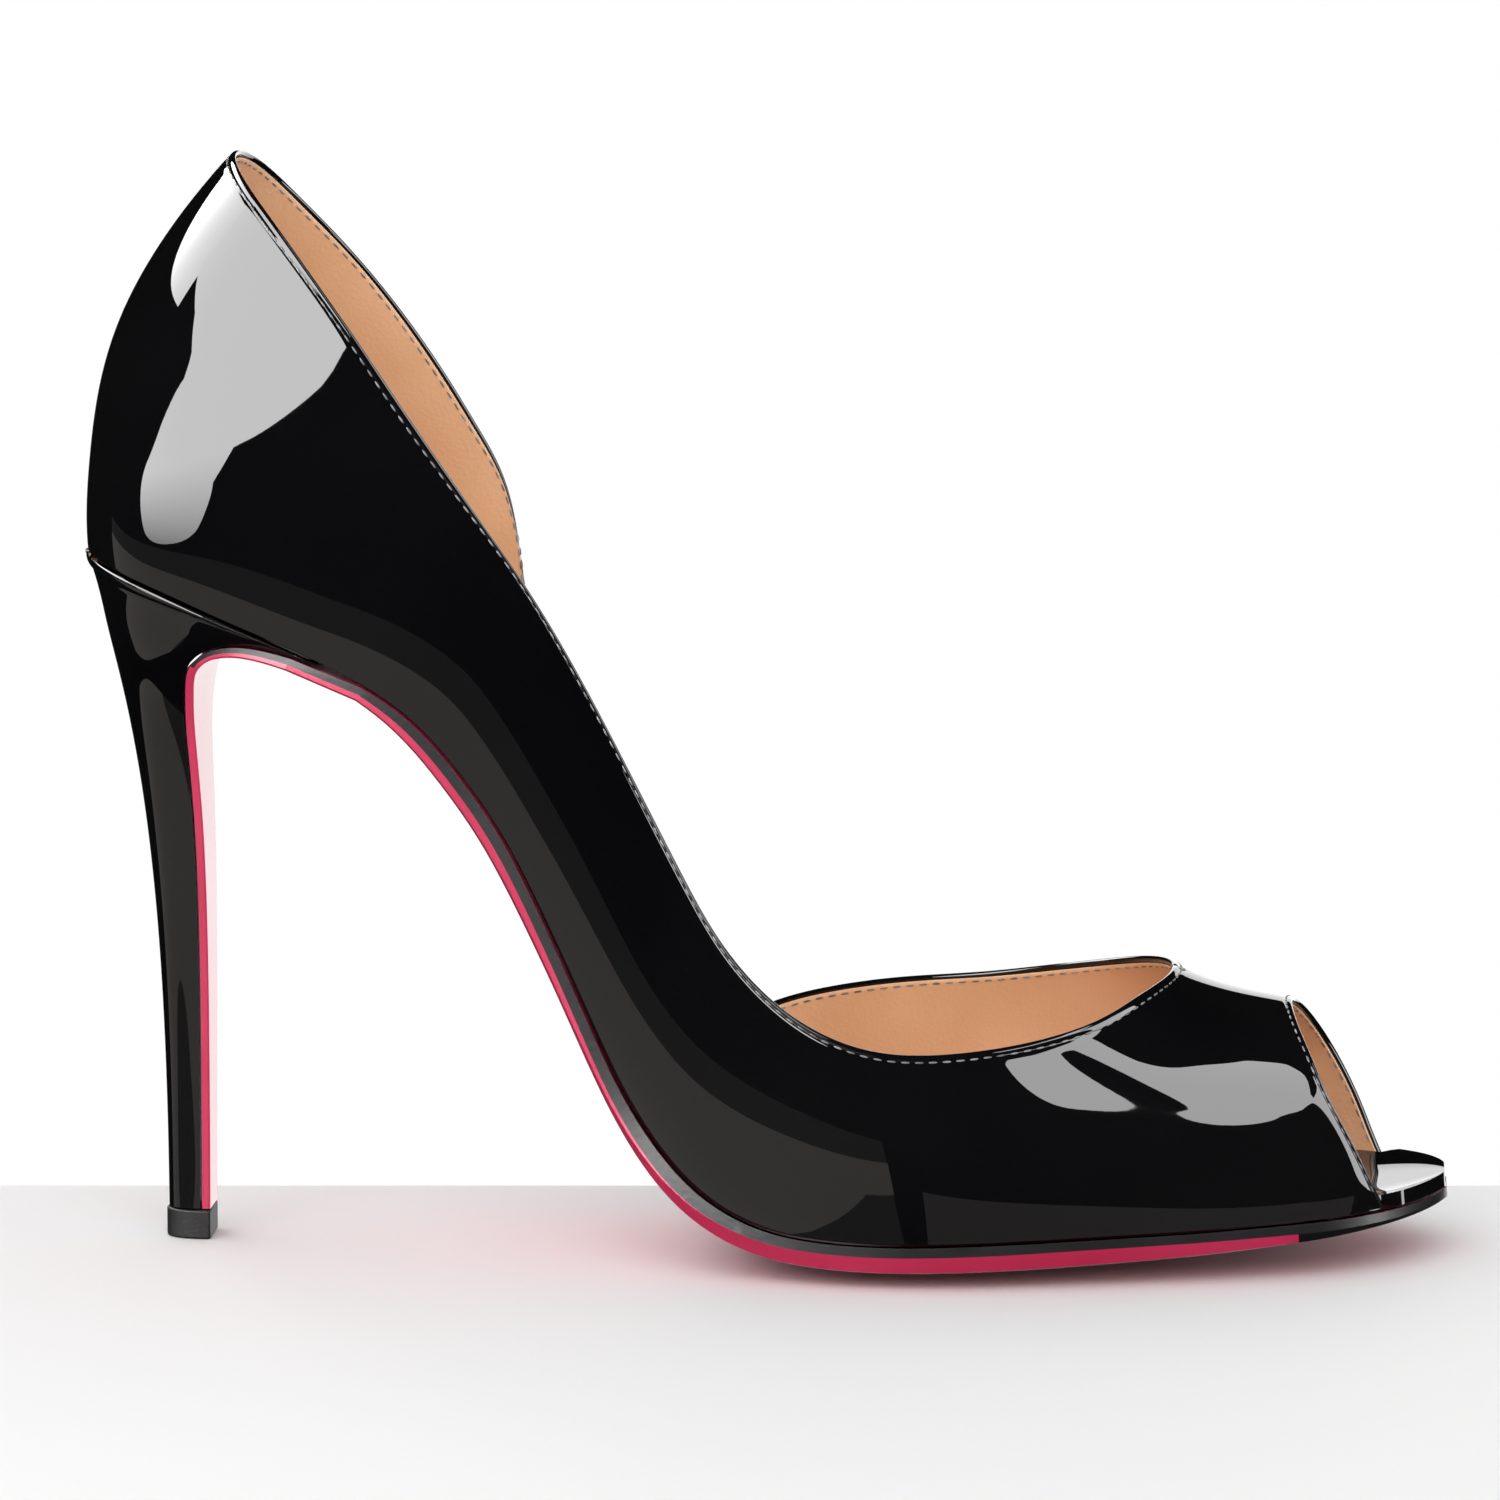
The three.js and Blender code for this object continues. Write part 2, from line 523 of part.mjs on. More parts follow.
// The heel: sections from its foot to the seat, round behind and flat in front.
function heel() {
  const angles = Array.from(
    { length: 2 * STEPS.heelRound + 1 },
    (_, j) => ((1 - j / STEPS.heelRound) * Math.PI) / 2,
  );
  const sections = HEEL.map((row, i) => {
    const [back, front] = [heelEnd("back")[i], heelEnd("front")[i]];
    return angles.map((angle) => [
      mix(back.x, front.x, 1 - Math.cos(angle)),
      row.half * BALL_WIDTH * ((Math.sin(angle) + 0.05 * Math.sin(3 * angle)) / 0.95),
      mix(back.z, front.z, 1 - Math.cos(angle)),
    ]);
  });
  const seatBack = seat(SEAT_BACK).x - HEEL_LEDGE;
  const rim = angles.map((angle) => {
    const x = mix(seatBack, seat(SEAT_WING).x, 1 - Math.cos(angle));
    const under = underSeat(seatAt(x), GAP);
    const side = angle < 0 ? 1 : -1;
    const edge = bedEdge(seatAt(Math.max(x, seat(SEAT_BACK).x)), side);
    const out = HEEL_LEDGE * Math.sin(Math.abs(angle));
    return [under.x, Math.abs(angle) < 1e-6 ? 0 : edge - side * out, under.z];
  });
  const planes = [...sections, rim];
  const lines = angles.map((_, j) => [0, 1, 2].map((axis) => smooth(planes.map((plane) => plane[j][axis]))));
  const rings = Array.from({ length: STEPS.heel + 1 }, (_, i) =>
    lines.map(([x, y, z]) => new THREE.Vector3(x(i / STEPS.heel), y(i / STEPS.heel), z(i / STEPS.heel))),
  );
  return loft(rings);
}

// The side view of the outsole's upper face, from the toe tip to the foot of the heel's front.
function soleSpine() {
  const seatStart = seatAt(along(HEEL_WING) + 7);
  const spine = [];
  for (let i = 0; i <= STEPS.length; i++) {
    const angle = (Math.PI / 2) * (i / STEPS.length);
    const v = mix(SEAT_TIP + 2e-5, seatStart, mix(i / STEPS.length, 1 - Math.cos(angle), 0.75));
    const [outer, inner] = [bedEdge(v, 1) - LEDGE, bedEdge(v, -1) + LEDGE];
    const edge = { dip: dipAlong(v), thick: thickAlong(v), band: bandAlong(v) };
    spine.push({ ...underSeat(v, GAP), outer, inner, ...edge });
  }
  for (let i = 0; i <= STEPS.arch; i++) {
    const w = mix(0.96, 0, (i / STEPS.arch) ** 1.35);
    const step = 1e-4;
    const [a, b] = [heelFront(Math.max(0, w - step)), heelFront(w + step)];
    const length = Math.hypot(b.x - a.x, b.z - a.z);
    spine.push({
      x: heelFront(w).x + ((b.z - a.z) / length) * GAP,
      z: heelFront(w).z - ((b.x - a.x) / length) * GAP,
      outer: heelMiddle(w) - heelHalf(w),
      inner: heelMiddle(w) + heelHalf(w),
      dip: 0,
      thick: mix(BREAST, thickAlong(seatStart), clamp((w - 0.8) / 0.2, 0, 1)),
      band: bandAlong(seatStart),
    });
  }
  return spine;
}

function outsole() {
  const spine = soleSpine();
  const rings = spine.map((here, i) => {
    const [a, b] = [spine[Math.max(0, i - 1)], spine[Math.min(spine.length - 1, i + 1)]];
    const length = Math.hypot(b.x - a.x, b.z - a.z);
    const down = { x: -(b.z - a.z) / length, z: (b.x - a.x) / length };
    const half = (here.inner - here.outer) / 2;
    const bevel = Math.min(half * 0.45, EDGE_BEVEL * clamp((here.thick - BREAST) / (SOLE - BREAST), 0, 1) + 0.15);
    const ys = Array.from({ length: STEPS.width + 1 }, (_, j) =>
      mix(here.outer + bevel, here.inner - bevel, j / STEPS.width),
    );
    const row = [here.outer, ...ys, here.inner];
    const dip = (y) => here.dip * dipShare(y, here.outer, here.inner);
    const at = (y, depth) => new THREE.Vector3(here.x + down.x * depth, y, here.z + down.z * depth);
    const upperFace = row.map((y) => at(y, dip(y)));
    const lowerFace = row.map((y, j) => {
      const edge = j === 0 || j === row.length - 1;
      const p = at(y, dip(y) + here.thick * (edge ? here.band : 1));
      return new THREE.Vector3(p.x, p.y, Math.max(0, p.z));
    });
    return [...upperFace, ...lowerFace.reverse()];
  });
  return loft(rings);
}

// The heel's tip: a small block, round behind like the heel.
function topLift() {
  const half = HEEL[0].half * BALL_WIDTH + TIP_LEDGE;
  const back = HEEL[0].back[0] * HEEL_OVERHANG - TIP_LEDGE;
  const shape = new THREE.Shape();
  const steps = 2 * STEPS.heelRound;
  for (let j = 0; j <= steps; j++) {
    const angle = (j / STEPS.heelRound - 1) * (Math.PI / 2);
    const x = back + TIP_LENGTH * (1 - Math.cos(angle));
    const y = half * ((Math.sin(angle) + 0.05 * Math.sin(3 * angle)) / 0.95);
    if (j === 0) shape.moveTo(x, y);
    else shape.lineTo(x, y);
  }
  shape.closePath();
  return new THREE.ExtrudeGeometry(shape, { depth: TIP_HEIGHT, bevelEnabled: false, steps: 1 });
}

const patent = new THREE.MeshStandardMaterial({ color: 0x060607, roughness: 0.08, metalness: 0 });
const lacquer = new THREE.MeshStandardMaterial({ color: 0xb92a52, roughness: 0.3, metalness: 0 });
const lining = new THREE.MeshStandardMaterial({ color: 0xc99a6b, roughness: 0.7, metalness: 0 });
const tipRubber = new THREE.MeshStandardMaterial({ color: 0x101011, roughness: 0.55, metalness: 0 });

function piece(name, geometry, material) {
  const mesh = new THREE.Mesh(geometry, material);
  mesh.name = name;
  return mesh;
}

const pump = new THREE.Group();
pump.name = "peep_toe_pump";
pump.add(
  piece("upper", upper(), patent),
  piece("outsole", outsole(), lacquer),
  piece("insole", insole(), patent),
  piece("sock", sock(), lining),
  piece("heel", heel(), patent),
  piece("top_lift", topLift(), tipRubber),
);
export default pump;
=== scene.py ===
import math
import bmesh
import bpy
import numpy as np
from mathutils import Matrix, Vector


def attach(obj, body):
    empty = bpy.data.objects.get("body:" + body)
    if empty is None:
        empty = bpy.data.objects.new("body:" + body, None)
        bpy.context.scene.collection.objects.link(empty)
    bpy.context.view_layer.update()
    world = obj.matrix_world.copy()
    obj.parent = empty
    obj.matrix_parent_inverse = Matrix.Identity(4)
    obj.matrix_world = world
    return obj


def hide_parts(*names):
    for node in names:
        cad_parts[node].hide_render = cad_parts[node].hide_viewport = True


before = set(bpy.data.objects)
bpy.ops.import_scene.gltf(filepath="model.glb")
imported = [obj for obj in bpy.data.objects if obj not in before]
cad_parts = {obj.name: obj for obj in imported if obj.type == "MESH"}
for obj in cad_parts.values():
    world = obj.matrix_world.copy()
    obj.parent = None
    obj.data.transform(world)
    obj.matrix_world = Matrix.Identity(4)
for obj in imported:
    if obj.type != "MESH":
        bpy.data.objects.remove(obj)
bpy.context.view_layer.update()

# Millimetres, as in the part's source. Meshes are put in metres when they are finished.
MM = 0.001
LENGTH = 222.0
HEEL_OVERHANG = 15.9
HEEL_HEIGHT = 112.0
BACK_HEIGHT = 66.5
VAMP_HEIGHT = 47.0
BALL_WIDTH = 76.0
TOE_SPRING = 4.6
WALL = 1.4
SOLE = 3.8
CAMBER = 3.9
DIP_FLAT = 0.3
FLAT_SPOT = 0.35
BREAST = 1.35
EDGE_BEVEL = 2.6
INSOLE = 2.4
SOCK = 0.8
SOCK_INSET = 0.7
TOE_BARE = 16.0
LEDGE = 0.6
GAP = 0.3
SIDE_ROOM = 0.6
TIP_HEIGHT = 4.7
TIP_LENGTH = 7.7
TIP_LEDGE = 0.4
HEEL_LEDGE = 0.5
HEEL_WING = 0.184
TOE_CAP = 0.1
FRONT_SHARE = 0.14

# The last's sections: keel x, lift, up; crown x, lift, up; half width, swing, widest place, fullness
LAST = np.array([
    (1.0, 0, 0.09, 1.002, 0, 0.3, 0.3, 0.06, 0.5, 0.05),
    (0.971, 0, 0.0, 0.967, 0, 0.6, 0.325, 0.045, 0.48, 0.05),
    (0.93, 0, -0.07, 0.922, 0, 0.81, 0.347, 0.028, 0.46, 0.05),
    (0.877, 0, -0.11, 0.872, 0, 0.885, 0.384, 0.014, 0.44, 0.05),
    (0.815, 0, -0.13, 0.812, 0, 0.965, 0.43, 0.004, 0.42, 0.05),
    (0.745, 0, -0.15, 0.749, 0, 1.15, 0.472, -0.006, 0.39, 0.05),
    (0.669, 0, -0.17, 0.688, 0.02, 1.33, 0.508, -0.016, 0.36, 0.05),
    (0.588, 0.0, -0.18, 0.631, 0.1, 1.4, 0.518, -0.026, 0.35, 0.05),
    (0.508, 0.02, -0.15, 0.579, 0.24, 1.37, 0.482, -0.042, 0.37, 0.05),
    (0.434, 0.09, -0.13, 0.533, 0.38, 1.33, 0.42, -0.055, 0.41, 0.05),
    (0.37, 0.26, -0.13, 0.495, 0.52, 1.29, 0.368, -0.05, 0.45, 0.05),
    (0.307, 0.47, -0.16, 0.465, 0.66, 1.24, 0.345, -0.035, 0.47, 0.05),
    (0.221, 0.67, -0.2, 0.443, 0.78, 1.2, 0.343, -0.015, 0.47, 0.055),
    (0.098, 0.82, -0.2, 0.428, 0.88, 1.17, 0.348, -0.003, 0.45, 0.06),
    (0.013, 0.94, -0.04, 0.419, 0.95, 1.2, 0.345, 0.0, 0.45, 0.06),
    (0.004, 1.0, 0.35, 0.414, 1.0, 1.28, 0.335, 0.0, 0.46, 0.06),
    (0.0315, 1.0, 0.88, 0.411, 1.0, 1.45, 0.32, 0.0, 0.48, 0.06),
    (0.1135, 1.0, 1.42, 0.409, 1.0, 1.65, 0.29, 0.0, 0.5, 0.05),
    (0.22, 1.0, 1.85, 0.408, 1.0, 1.92, 0.25, 0.0, 0.5, 0.05),
])

# The upper's lower edge: x, lift, spring, camber share, outsole thickness share, upright share of its edge
SEAT = np.array([
    (1.004, 0, 0.728, 0.15, 0.37, 0.85),
    (0.954, 0, 0.565, 0.35, 0.54, 0.7),
    (0.893, 0, 0.446, 0.6, 0.75, 0.55),
    (0.821, 0, 0.293, 0.85, 0.855, 0.46),
    (0.75, 0, 0.19, 0.96, 0.95, 0.42),
    (0.679, 0, 0.08, 1, 1, 0.42),
    (0.608, 0, 0, 1, 1, 0.42),
    (0.56, 0.0015, 0, 0.96, 1, 0.42),
    (0.52, 0.0092, 0, 0.86, 1, 0.45),
    (0.487, 0.0295, 0, 0.7, 1, 0.5),
    (0.458, 0.0644, 0, 0.52, 0.96, 0.6),
    (0.43, 0.1208, 0, 0.35, 0.87, 0.7),
    (0.402, 0.2052, 0, 0.2, 0.76, 0.78),
    (0.374, 0.3228, 0, 0.1, 0.76, 0.8),
    (0.345, 0.4495, 0, 0.04, 0.84, 0.8),
    (0.316, 0.5627, 0, 0, 0.92, 0.8),
    (0.286, 0.6495, 0, 0, 0.92, 0.8),
    (0.256, 0.7178, 0, 0, 0.85, 0.8),
    (0.219, 0.7723, 0, 0, 0.66, 0.8),
    (0.171, 0.8192, 0, 0, 0.5, 0.8),
    (0.12, 0.8604, 0, 0, 0.45, 0.8),
    (0.075, 0.8964, 0, 0, 0.5, 0.8),
    (0.03, 0.9284, 0, 0, 0.5, 0.8),
    (-0.012, 0.9554, 0, 0, 0.5, 0.8),
    (-0.06, 0.9844, 0, 0, 0.5, 0.8),
])

# The topline from the throat to the peak: x, lift, up, rise
TOPLINE = {
    "outer": np.array([
        (0.802, 0, 1.0, 0), (0.776, 0, 0.962, 0), (0.748, 0, 0.906, 0), (0.706, 0, 0.855, 0),
        (0.655, 0, 0.823, 0), (0.603, 0, 0.82, 0), (0.558, 0.03, 0.8, 0), (0.516, 0.079, 0.8, 0),
        (0.478, 0.158, 0.8, 0), (0.448, 0.255, 0.8, 0), (0.418, 0.366, 0.8, 0), (0.389, 0.474, 0.8, 0),
        (0.36, 0.576, 0.8, 0), (0.331, 1, 0, 0.005), (0.302, 1, 0, 0.142), (0.273, 1, 0, 0.28),
        (0.245, 1, 0, 0.416), (0.218, 1, 0, 0.55), (0.195, 1, 0, 0.659), (0.172, 1, 0, 0.764),
        (0.145, 1, 0, 0.878), (0.1125, 1, 0, 1.0),
    ]),
    "inner": np.array([
        (0.802, 0, 1.0, 0), (0.779, 0, 0.968, 0), (0.742, 0, 0.92, 0), (0.7, 0, 0.878, 0),
        (0.65, 0, 0.84, 0), (0.595, 0, 0.818, 0), (0.542, 0, 0.79, 0), (0.493, 0, 0.738, 0),
        (0.453, 0.03, 0.61, 0), (0.418, 0.134, 0.47, 0), (0.388, 0.272, 0.37, 0), (0.36, 0.402, 0.34, 0),
        (0.334, 0.525, 0.34, 0), (0.3165, 0.635, 0.34, 0), (0.31, 0.745, 0.34, 0), (0.3085, 0.84, 0.34, 0),
        (0.298, 1, 0, 0.149), (0.277, 1, 0, 0.29), (0.248, 1, 0, 0.447), (0.213, 1, 0, 0.61),
        (0.178, 1, 0, 0.75), (0.147, 1, 0, 0.864), (0.1125, 1, 0, 1.0),
    ]),
}

# The toe opening's edge from the ridge to the sole: x, up
TOE_OPENING = {
    "outer": np.array([(0.886, 0.87), (0.8925, 0.815), (0.901, 0.74), (0.915, 0.605), (0.93, 0.47),
                       (0.944, 0.332), (0.955, 0)]),
    "inner": np.array([(0.886, 0.87), (0.8955, 0.8), (0.9065, 0.715), (0.9215, 0.588), (0.9365, 0.442),
                       (0.948, 0.31), (0.957, 0)]),
}

# The heel's sections from the foot up: back x, back z, front x, front z, half width
HEEL = np.array([
    (-0.214, 0, 0.1415, 0, 0.057),
    (-0.23, 0.175, 0.15, 0.175, 0.062),
    (-0.29, 0.385, 0.154, 0.385, 0.075),
    (-0.41, 0.575, 0.13, 0.575, 0.098),
    (-0.552, 0.71, 0.085, 0.707, 0.134),
    (-0.68, 0.8, 0.105, 0.775, 0.182),
    (-0.786, 0.867, 0.235, 0.826, 0.236),
    (-0.872, 0.92, 0.75, 0.851, 0.286),
])


def along(share):
    return share * LENGTH - HEEL_OVERHANG


def height(lift, up=0.0, rise=0.0):
    return lift * HEEL_HEIGHT + up * VAMP_HEIGHT + rise * BACK_HEIGHT


def mix(a, b, t):
    return a + (b - a) * t


def smooth(values):
    """A natural cubic spline through equally spaced values, run from 0 to 1."""
    v = np.asarray(values, float)
    n = len(v)
    rows = np.zeros((n, n))
    rows[0, 0] = rows[-1, -1] = 1
    bends = np.zeros(n)
    for i in range(1, n - 1):
        rows[i, i - 1:i + 2] = (1, 4, 1)
        bends[i] = 6 * (v[i + 1] - 2 * v[i] + v[i - 1])
    bend = np.linalg.solve(rows, bends)

    def curve(u):
        t = np.clip(u, 0, 1) * (n - 1)
        i = np.minimum(n - 2, np.floor(t)).astype(int)
        f = t - i
        g = 1 - f
        return g * v[i] + f * v[i + 1] + ((g ** 3 - g) * bend[i] + (f ** 3 - f) * bend[i + 1]) / 6

    return curve


def crossing(rising, like):
    """Where rising functions pass 0 between 0 and 1, for as many as like holds."""
    low = np.zeros_like(np.asarray(like, float))
    high = low + 1
    for _ in range(44):
        middle = (low + high) / 2
        under = rising(middle) < 0
        low = np.where(under, middle, low)
        high = np.where(under, high, middle)
    return (low + high) / 2


keel_x = smooth(along(LAST[:, 0]))
keel_z = smooth(height(LAST[:, 1], LAST[:, 2]))
crown_x = smooth(along(LAST[:, 3]))
crown_z = smooth(height(LAST[:, 4], LAST[:, 5]))
last_half = smooth(LAST[:, 6] * BALL_WIDTH)
last_swing = smooth(LAST[:, 7] * BALL_WIDTH)
last_wide = smooth(LAST[:, 8])
last_square = smooth(LAST[:, 9])
seat_x = smooth(along(SEAT[:, 0]))
seat_z = smooth(SOLE + CAMBER + GAP - FLAT_SPOT + height(SEAT[:, 1]) + SEAT[:, 2] * TOE_SPRING)
seat_dip = smooth(SEAT[:, 3] * CAMBER)
seat_thick = smooth(SEAT[:, 4] * SOLE)
seat_band = smooth(SEAT[:, 5])


def last_point(u, turn):
    back = np.clip((along(1) - keel_x(u)) / (TOE_CAP * LENGTH), 0, 1)
    cap = np.sqrt(1 - (1 - back) ** 2)
    full = last_square(u)
    share = (1 + np.cos(turn)) / 2 + (last_wide(u) - 0.5) * np.sin(turn) ** 2
    out = (np.sin(turn) + full * np.sin(3 * turn)) / (1 - full)
    return np.stack([
        mix(keel_x(u), crown_x(u), share),
        last_swing(u) - last_half(u) * cap * out,
        mix(keel_z(u), crown_z(u), share),
    ], -1)


def last_normal(u, turn):
    step = 1e-4
    lengthwise = last_point(np.minimum(1, u + step), turn) - last_point(np.maximum(0, u - step), turn)
    around = last_point(u, turn + step) - last_point(u, turn - step)
    normal = np.cross(lengthwise, around)
    return normal / np.linalg.norm(normal, axis=-1, keepdims=True)


def on_last(x, z):
    """The section u, the share from keel to crown and the turn of points of the side view."""
    x, z = np.asarray(x, float), np.asarray(z, float)

    def beside(u):
        return (crown_z(u) - keel_z(u)) * (x - keel_x(u)) - (crown_x(u) - keel_x(u)) * (z - keel_z(u))

    u = crossing(beside, x)
    dx, dz = crown_x(u) - keel_x(u), crown_z(u) - keel_z(u)
    share = np.clip((dx * (x - keel_x(u)) + dz * (z - keel_z(u))) / (dx * dx + dz * dz), 0, 1)
    lean = last_wide(u) - 0.5
    level = 2 * share - 1
    safe = np.where(np.abs(lean) < 1e-6, 1, lean)
    root = np.sqrt(np.maximum(0, 0.25 - 2 * safe * (level - 2 * safe)))
    cosine = np.where(np.abs(lean) < 1e-6, level, (0.5 - root) / (2 * safe))
    return u, share, np.arccos(np.clip(cosine, -1, 1))


def seat_at(x):
    return crossing(lambda v: x - seat_x(v), x)


SEAT_TIP = float(seat_at(along(1) - 0.01))
SEAT_BACK = float(crossing(lambda v: np.where(v < 0.8, -1, 1e-7 - on_last(seat_x(v), seat_z(v))[1]), 0.0))
SEAT_WING = float(seat_at(along(HEEL_WING)))


def seat_up(v):
    step = 1e-4
    a, b = np.maximum(0, v - step), np.minimum(1, v + step)
    dx, dz = seat_x(b) - seat_x(a), seat_z(b) - seat_z(a)
    size = np.hypot(dx, dz)
    return dz / size, -dx / size


def bed_edge(v, side):
    v = np.clip(v, SEAT_TIP, SEAT_BACK)
    u, _, turn = on_last(seat_x(v), seat_z(v))
    return last_point(u, side * turn)[..., 1]


def outline(w, side, inset):
    """The bed's outline moved in by inset. w runs from 0 at the tip to 1 at the back. Gives v and y."""
    def at(q):
        flip = np.where((q < 0) | (q > 1), -side, side)
        v = mix(SEAT_TIP, SEAT_BACK, (1 - np.cos(np.pi * q)) / 2)
        return v, bed_edge(v, flip)

    v, y = at(w)
    (v0, y0), (v1, y1) = at(w - 0.004), at(w + 0.004)
    pace = np.hypot(seat_x(v + 1e-4) - seat_x(v - 1e-4), seat_z(v + 1e-4) - seat_z(v - 1e-4)) / 2e-4
    ds, dy = (v1 - v0) * pace, y1 - y0
    size = np.hypot(ds, dy)
    return v - side * dy * inset / size / pace, y + side * ds * inset / size


def dip_share(y, low, high):
    across = np.abs((2 * y - low - high) / (high - low))
    return 1 - np.clip((across - DIP_FLAT) / (1 - DIP_FLAT), 0, 1) ** 2


# Mesh helpers

def set_places(bm, places):
    for vert, place in zip(bm.verts, places.reshape(-1, 3)):
        vert.co = Vector(place * MM)


def grid(columns, rows, places):
    """A bmesh grid whose vertices are moved to places, an array of rows x columns x 3 in millimetres."""
    bm = bmesh.new()
    bmesh.ops.create_grid(bm, x_segments=columns - 1, y_segments=rows - 1, size=1)
    bm.verts.sort(key=lambda v: round(v.co.y * 1e5) * 4.0 + v.co.x)
    set_places(bm, places)
    return bm


def finish(bm, name, materials, replaces=None, sharp=35, ends=False):
    bmesh.ops.remove_doubles(bm, verts=bm.verts, dist=2e-7)
    if ends:
        rim = [e for e in bm.edges if e.is_boundary]
        bmesh.ops.holes_fill(bm, edges=rim, sides=0)
    bmesh.ops.recalc_face_normals(bm, faces=bm.faces)
    mesh = bpy.data.meshes.new(name)
    bm.to_mesh(mesh)
    bm.free()
    mesh.shade_smooth()
    mesh.set_sharp_from_angle(angle=math.radians(sharp))
    for material in materials:
        mesh.materials.append(material)
    piece = bpy.data.objects.new(name, mesh)
    bpy.context.scene.collection.objects.link(piece)
    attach(piece, "root")
    if replaces:
        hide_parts(replaces)
    return piece


# Materials

def new_material(name, **sockets):
    material = bpy.data.materials.new(name)
    material.use_nodes = True
    shader = material.node_tree.nodes["Principled BSDF"]
    for socket, value in sockets.items():
        shader.inputs[socket.replace("_", " ")].default_value = value
    return material, material.node_tree, shader


def new_group(name, inputs, outputs):
    group = bpy.data.node_groups.new(name, "ShaderNodeTree")
    for label, kind, value in inputs:
        socket = group.interface.new_socket(name=label, in_out="INPUT", socket_type=kind)
        socket.default_value = value
    for label, kind in outputs:
        group.interface.new_socket(name=label, in_out="OUTPUT", socket_type=kind)
    return group, group.nodes.new("NodeGroupInput"), group.nodes.new("NodeGroupOutput")


def node(tree, kind, inputs=(), **settings):
    made = tree.nodes.new(kind)
    for key, value in settings.items():
        setattr(made, key, value)
    for key, value in dict(inputs).items():
        if isinstance(value, bpy.types.NodeSocket):
            tree.links.new(value, made.inputs[key])
        else:
            made.inputs[key].default_value = value
    return made


def grain_group():
    """Hide grain: fine pores in broad soft patches. Gives a height and a patch mask, both from 0 to 1."""
    group, start, end = new_group(
        "hide_grain",
        [("Size", "NodeSocketFloat", 900.0), ("Patch Size", "NodeSocketFloat", 30.0)],
        [("Height", "NodeSocketFloat"), ("Patches", "NodeSocketFloat")],
    )
    place = node(group, "ShaderNodeTexCoord").outputs["Object"]
    pores = node(group, "ShaderNodeTexVoronoi", {"Vector": place, "Scale": start.outputs["Size"]},
                 feature="F1")
    fine = node(group, "ShaderNodeTexNoise", {"Vector": place, "Scale": start.outputs["Size"], "Detail": 3.0})
    both = node(group, "ShaderNodeMath", {0: pores.outputs["Distance"], 1: fine.outputs["Fac"]},
                operation="MULTIPLY")
    patches = node(group, "ShaderNodeTexNoise",
                   {"Vector": place, "Scale": start.outputs["Patch Size"], "Detail": 2.0})
    group.links.new(both.outputs[0], end.inputs["Height"])
    group.links.new(patches.outputs["Fac"], end.inputs["Patches"])
    return group


GRAIN = grain_group()


def use_grain(tree, size, patch):
    made = node(tree, "ShaderNodeGroup")
    made.node_tree = GRAIN
    made.inputs["Size"].default_value = size
    made.inputs["Patch Size"].default_value = patch
    return made


def vary(tree, mask, dark, light, low=0.35, high=0.65):
    ramp = node(tree, "ShaderNodeValToRGB", {"Fac": mask})
    ramp.color_ramp.elements[0].position = low
    ramp.color_ramp.elements[0].color = (*dark, 1)
    ramp.color_ramp.elements[1].position = high
    ramp.color_ramp.elements[1].color = (*light, 1)
    return ramp.outputs["Color"]


def vary_roughness(tree, shader, mask, low, high):
    rough = node(tree, "ShaderNodeMapRange", {"Value": mask, "To Min": low, "To Max": high})
    tree.links.new(rough.outputs["Result"], shader.inputs["Roughness"])


def add_bump(tree, shader, height_socket, strength, distance):
    bump = node(tree, "ShaderNodeBump", {"Height": height_socket, "Strength": strength, "Distance": distance})
    tree.links.new(bump.outputs["Normal"], shader.inputs["Normal"])


def patent_leather():
    material, tree, shader = new_material(
        "patent_leather", Roughness=0.3, Specular_IOR_Level=0.0, Coat_Weight=1.0, Coat_Roughness=0.012,
        IOR=1.5, Coat_IOR=1.5)
    grain = use_grain(tree, 220.0, 16.0)
    tree.links.new(vary(tree, grain.outputs["Patches"], (0.002, 0.002, 0.0025), (0.004, 0.004, 0.0045)),
                   shader.inputs["Base Color"])
    add_bump(tree, shader, grain.outputs["Patches"], 0.05, 0.0004)
    return material


def lining_leather():
    material, tree, shader = new_material(
        "lining_leather", Roughness=0.55, Specular_IOR_Level=0.35, Sheen_Weight=0.08, Sheen_Roughness=0.5)
    grain = use_grain(tree, 1500.0, 45.0)
    tree.links.new(vary(tree, grain.outputs["Patches"], (0.7, 0.4, 0.21), (0.78, 0.47, 0.27)),
                   shader.inputs["Base Color"])
    vary_roughness(tree, shader, grain.outputs["Patches"], 0.46, 0.62)
    add_bump(tree, shader, grain.outputs["Height"], 0.25, 0.0003)
    return material


def sole_lacquer():
    material, tree, shader = new_material(
        "sole_lacquer", Roughness=0.3, Specular_IOR_Level=0.5, Coat_Weight=0.35, Coat_Roughness=0.18)
    grain = use_grain(tree, 700.0, 25.0)
    tree.links.new(vary(tree, grain.outputs["Patches"], (0.52, 0.018, 0.075), (0.6, 0.028, 0.1)),
                   shader.inputs["Base Color"])
    vary_roughness(tree, shader, grain.outputs["Patches"], 0.24, 0.36)
    add_bump(tree, shader, grain.outputs["Height"], 0.12, 0.0003)
    return material


def edge_ink():
    material, tree, shader = new_material(
        "edge_ink", Roughness=0.35, Specular_IOR_Level=0.4, Coat_Weight=0.15, Coat_Roughness=0.15)
    grain = use_grain(tree, 1200.0, 60.0)
    tree.links.new(vary(tree, grain.outputs["Patches"], (0.006, 0.006, 0.007), (0.014, 0.013, 0.014)),
                   shader.inputs["Base Color"])
    add_bump(tree, shader, grain.outputs["Height"], 0.15, 0.0002)
    return material


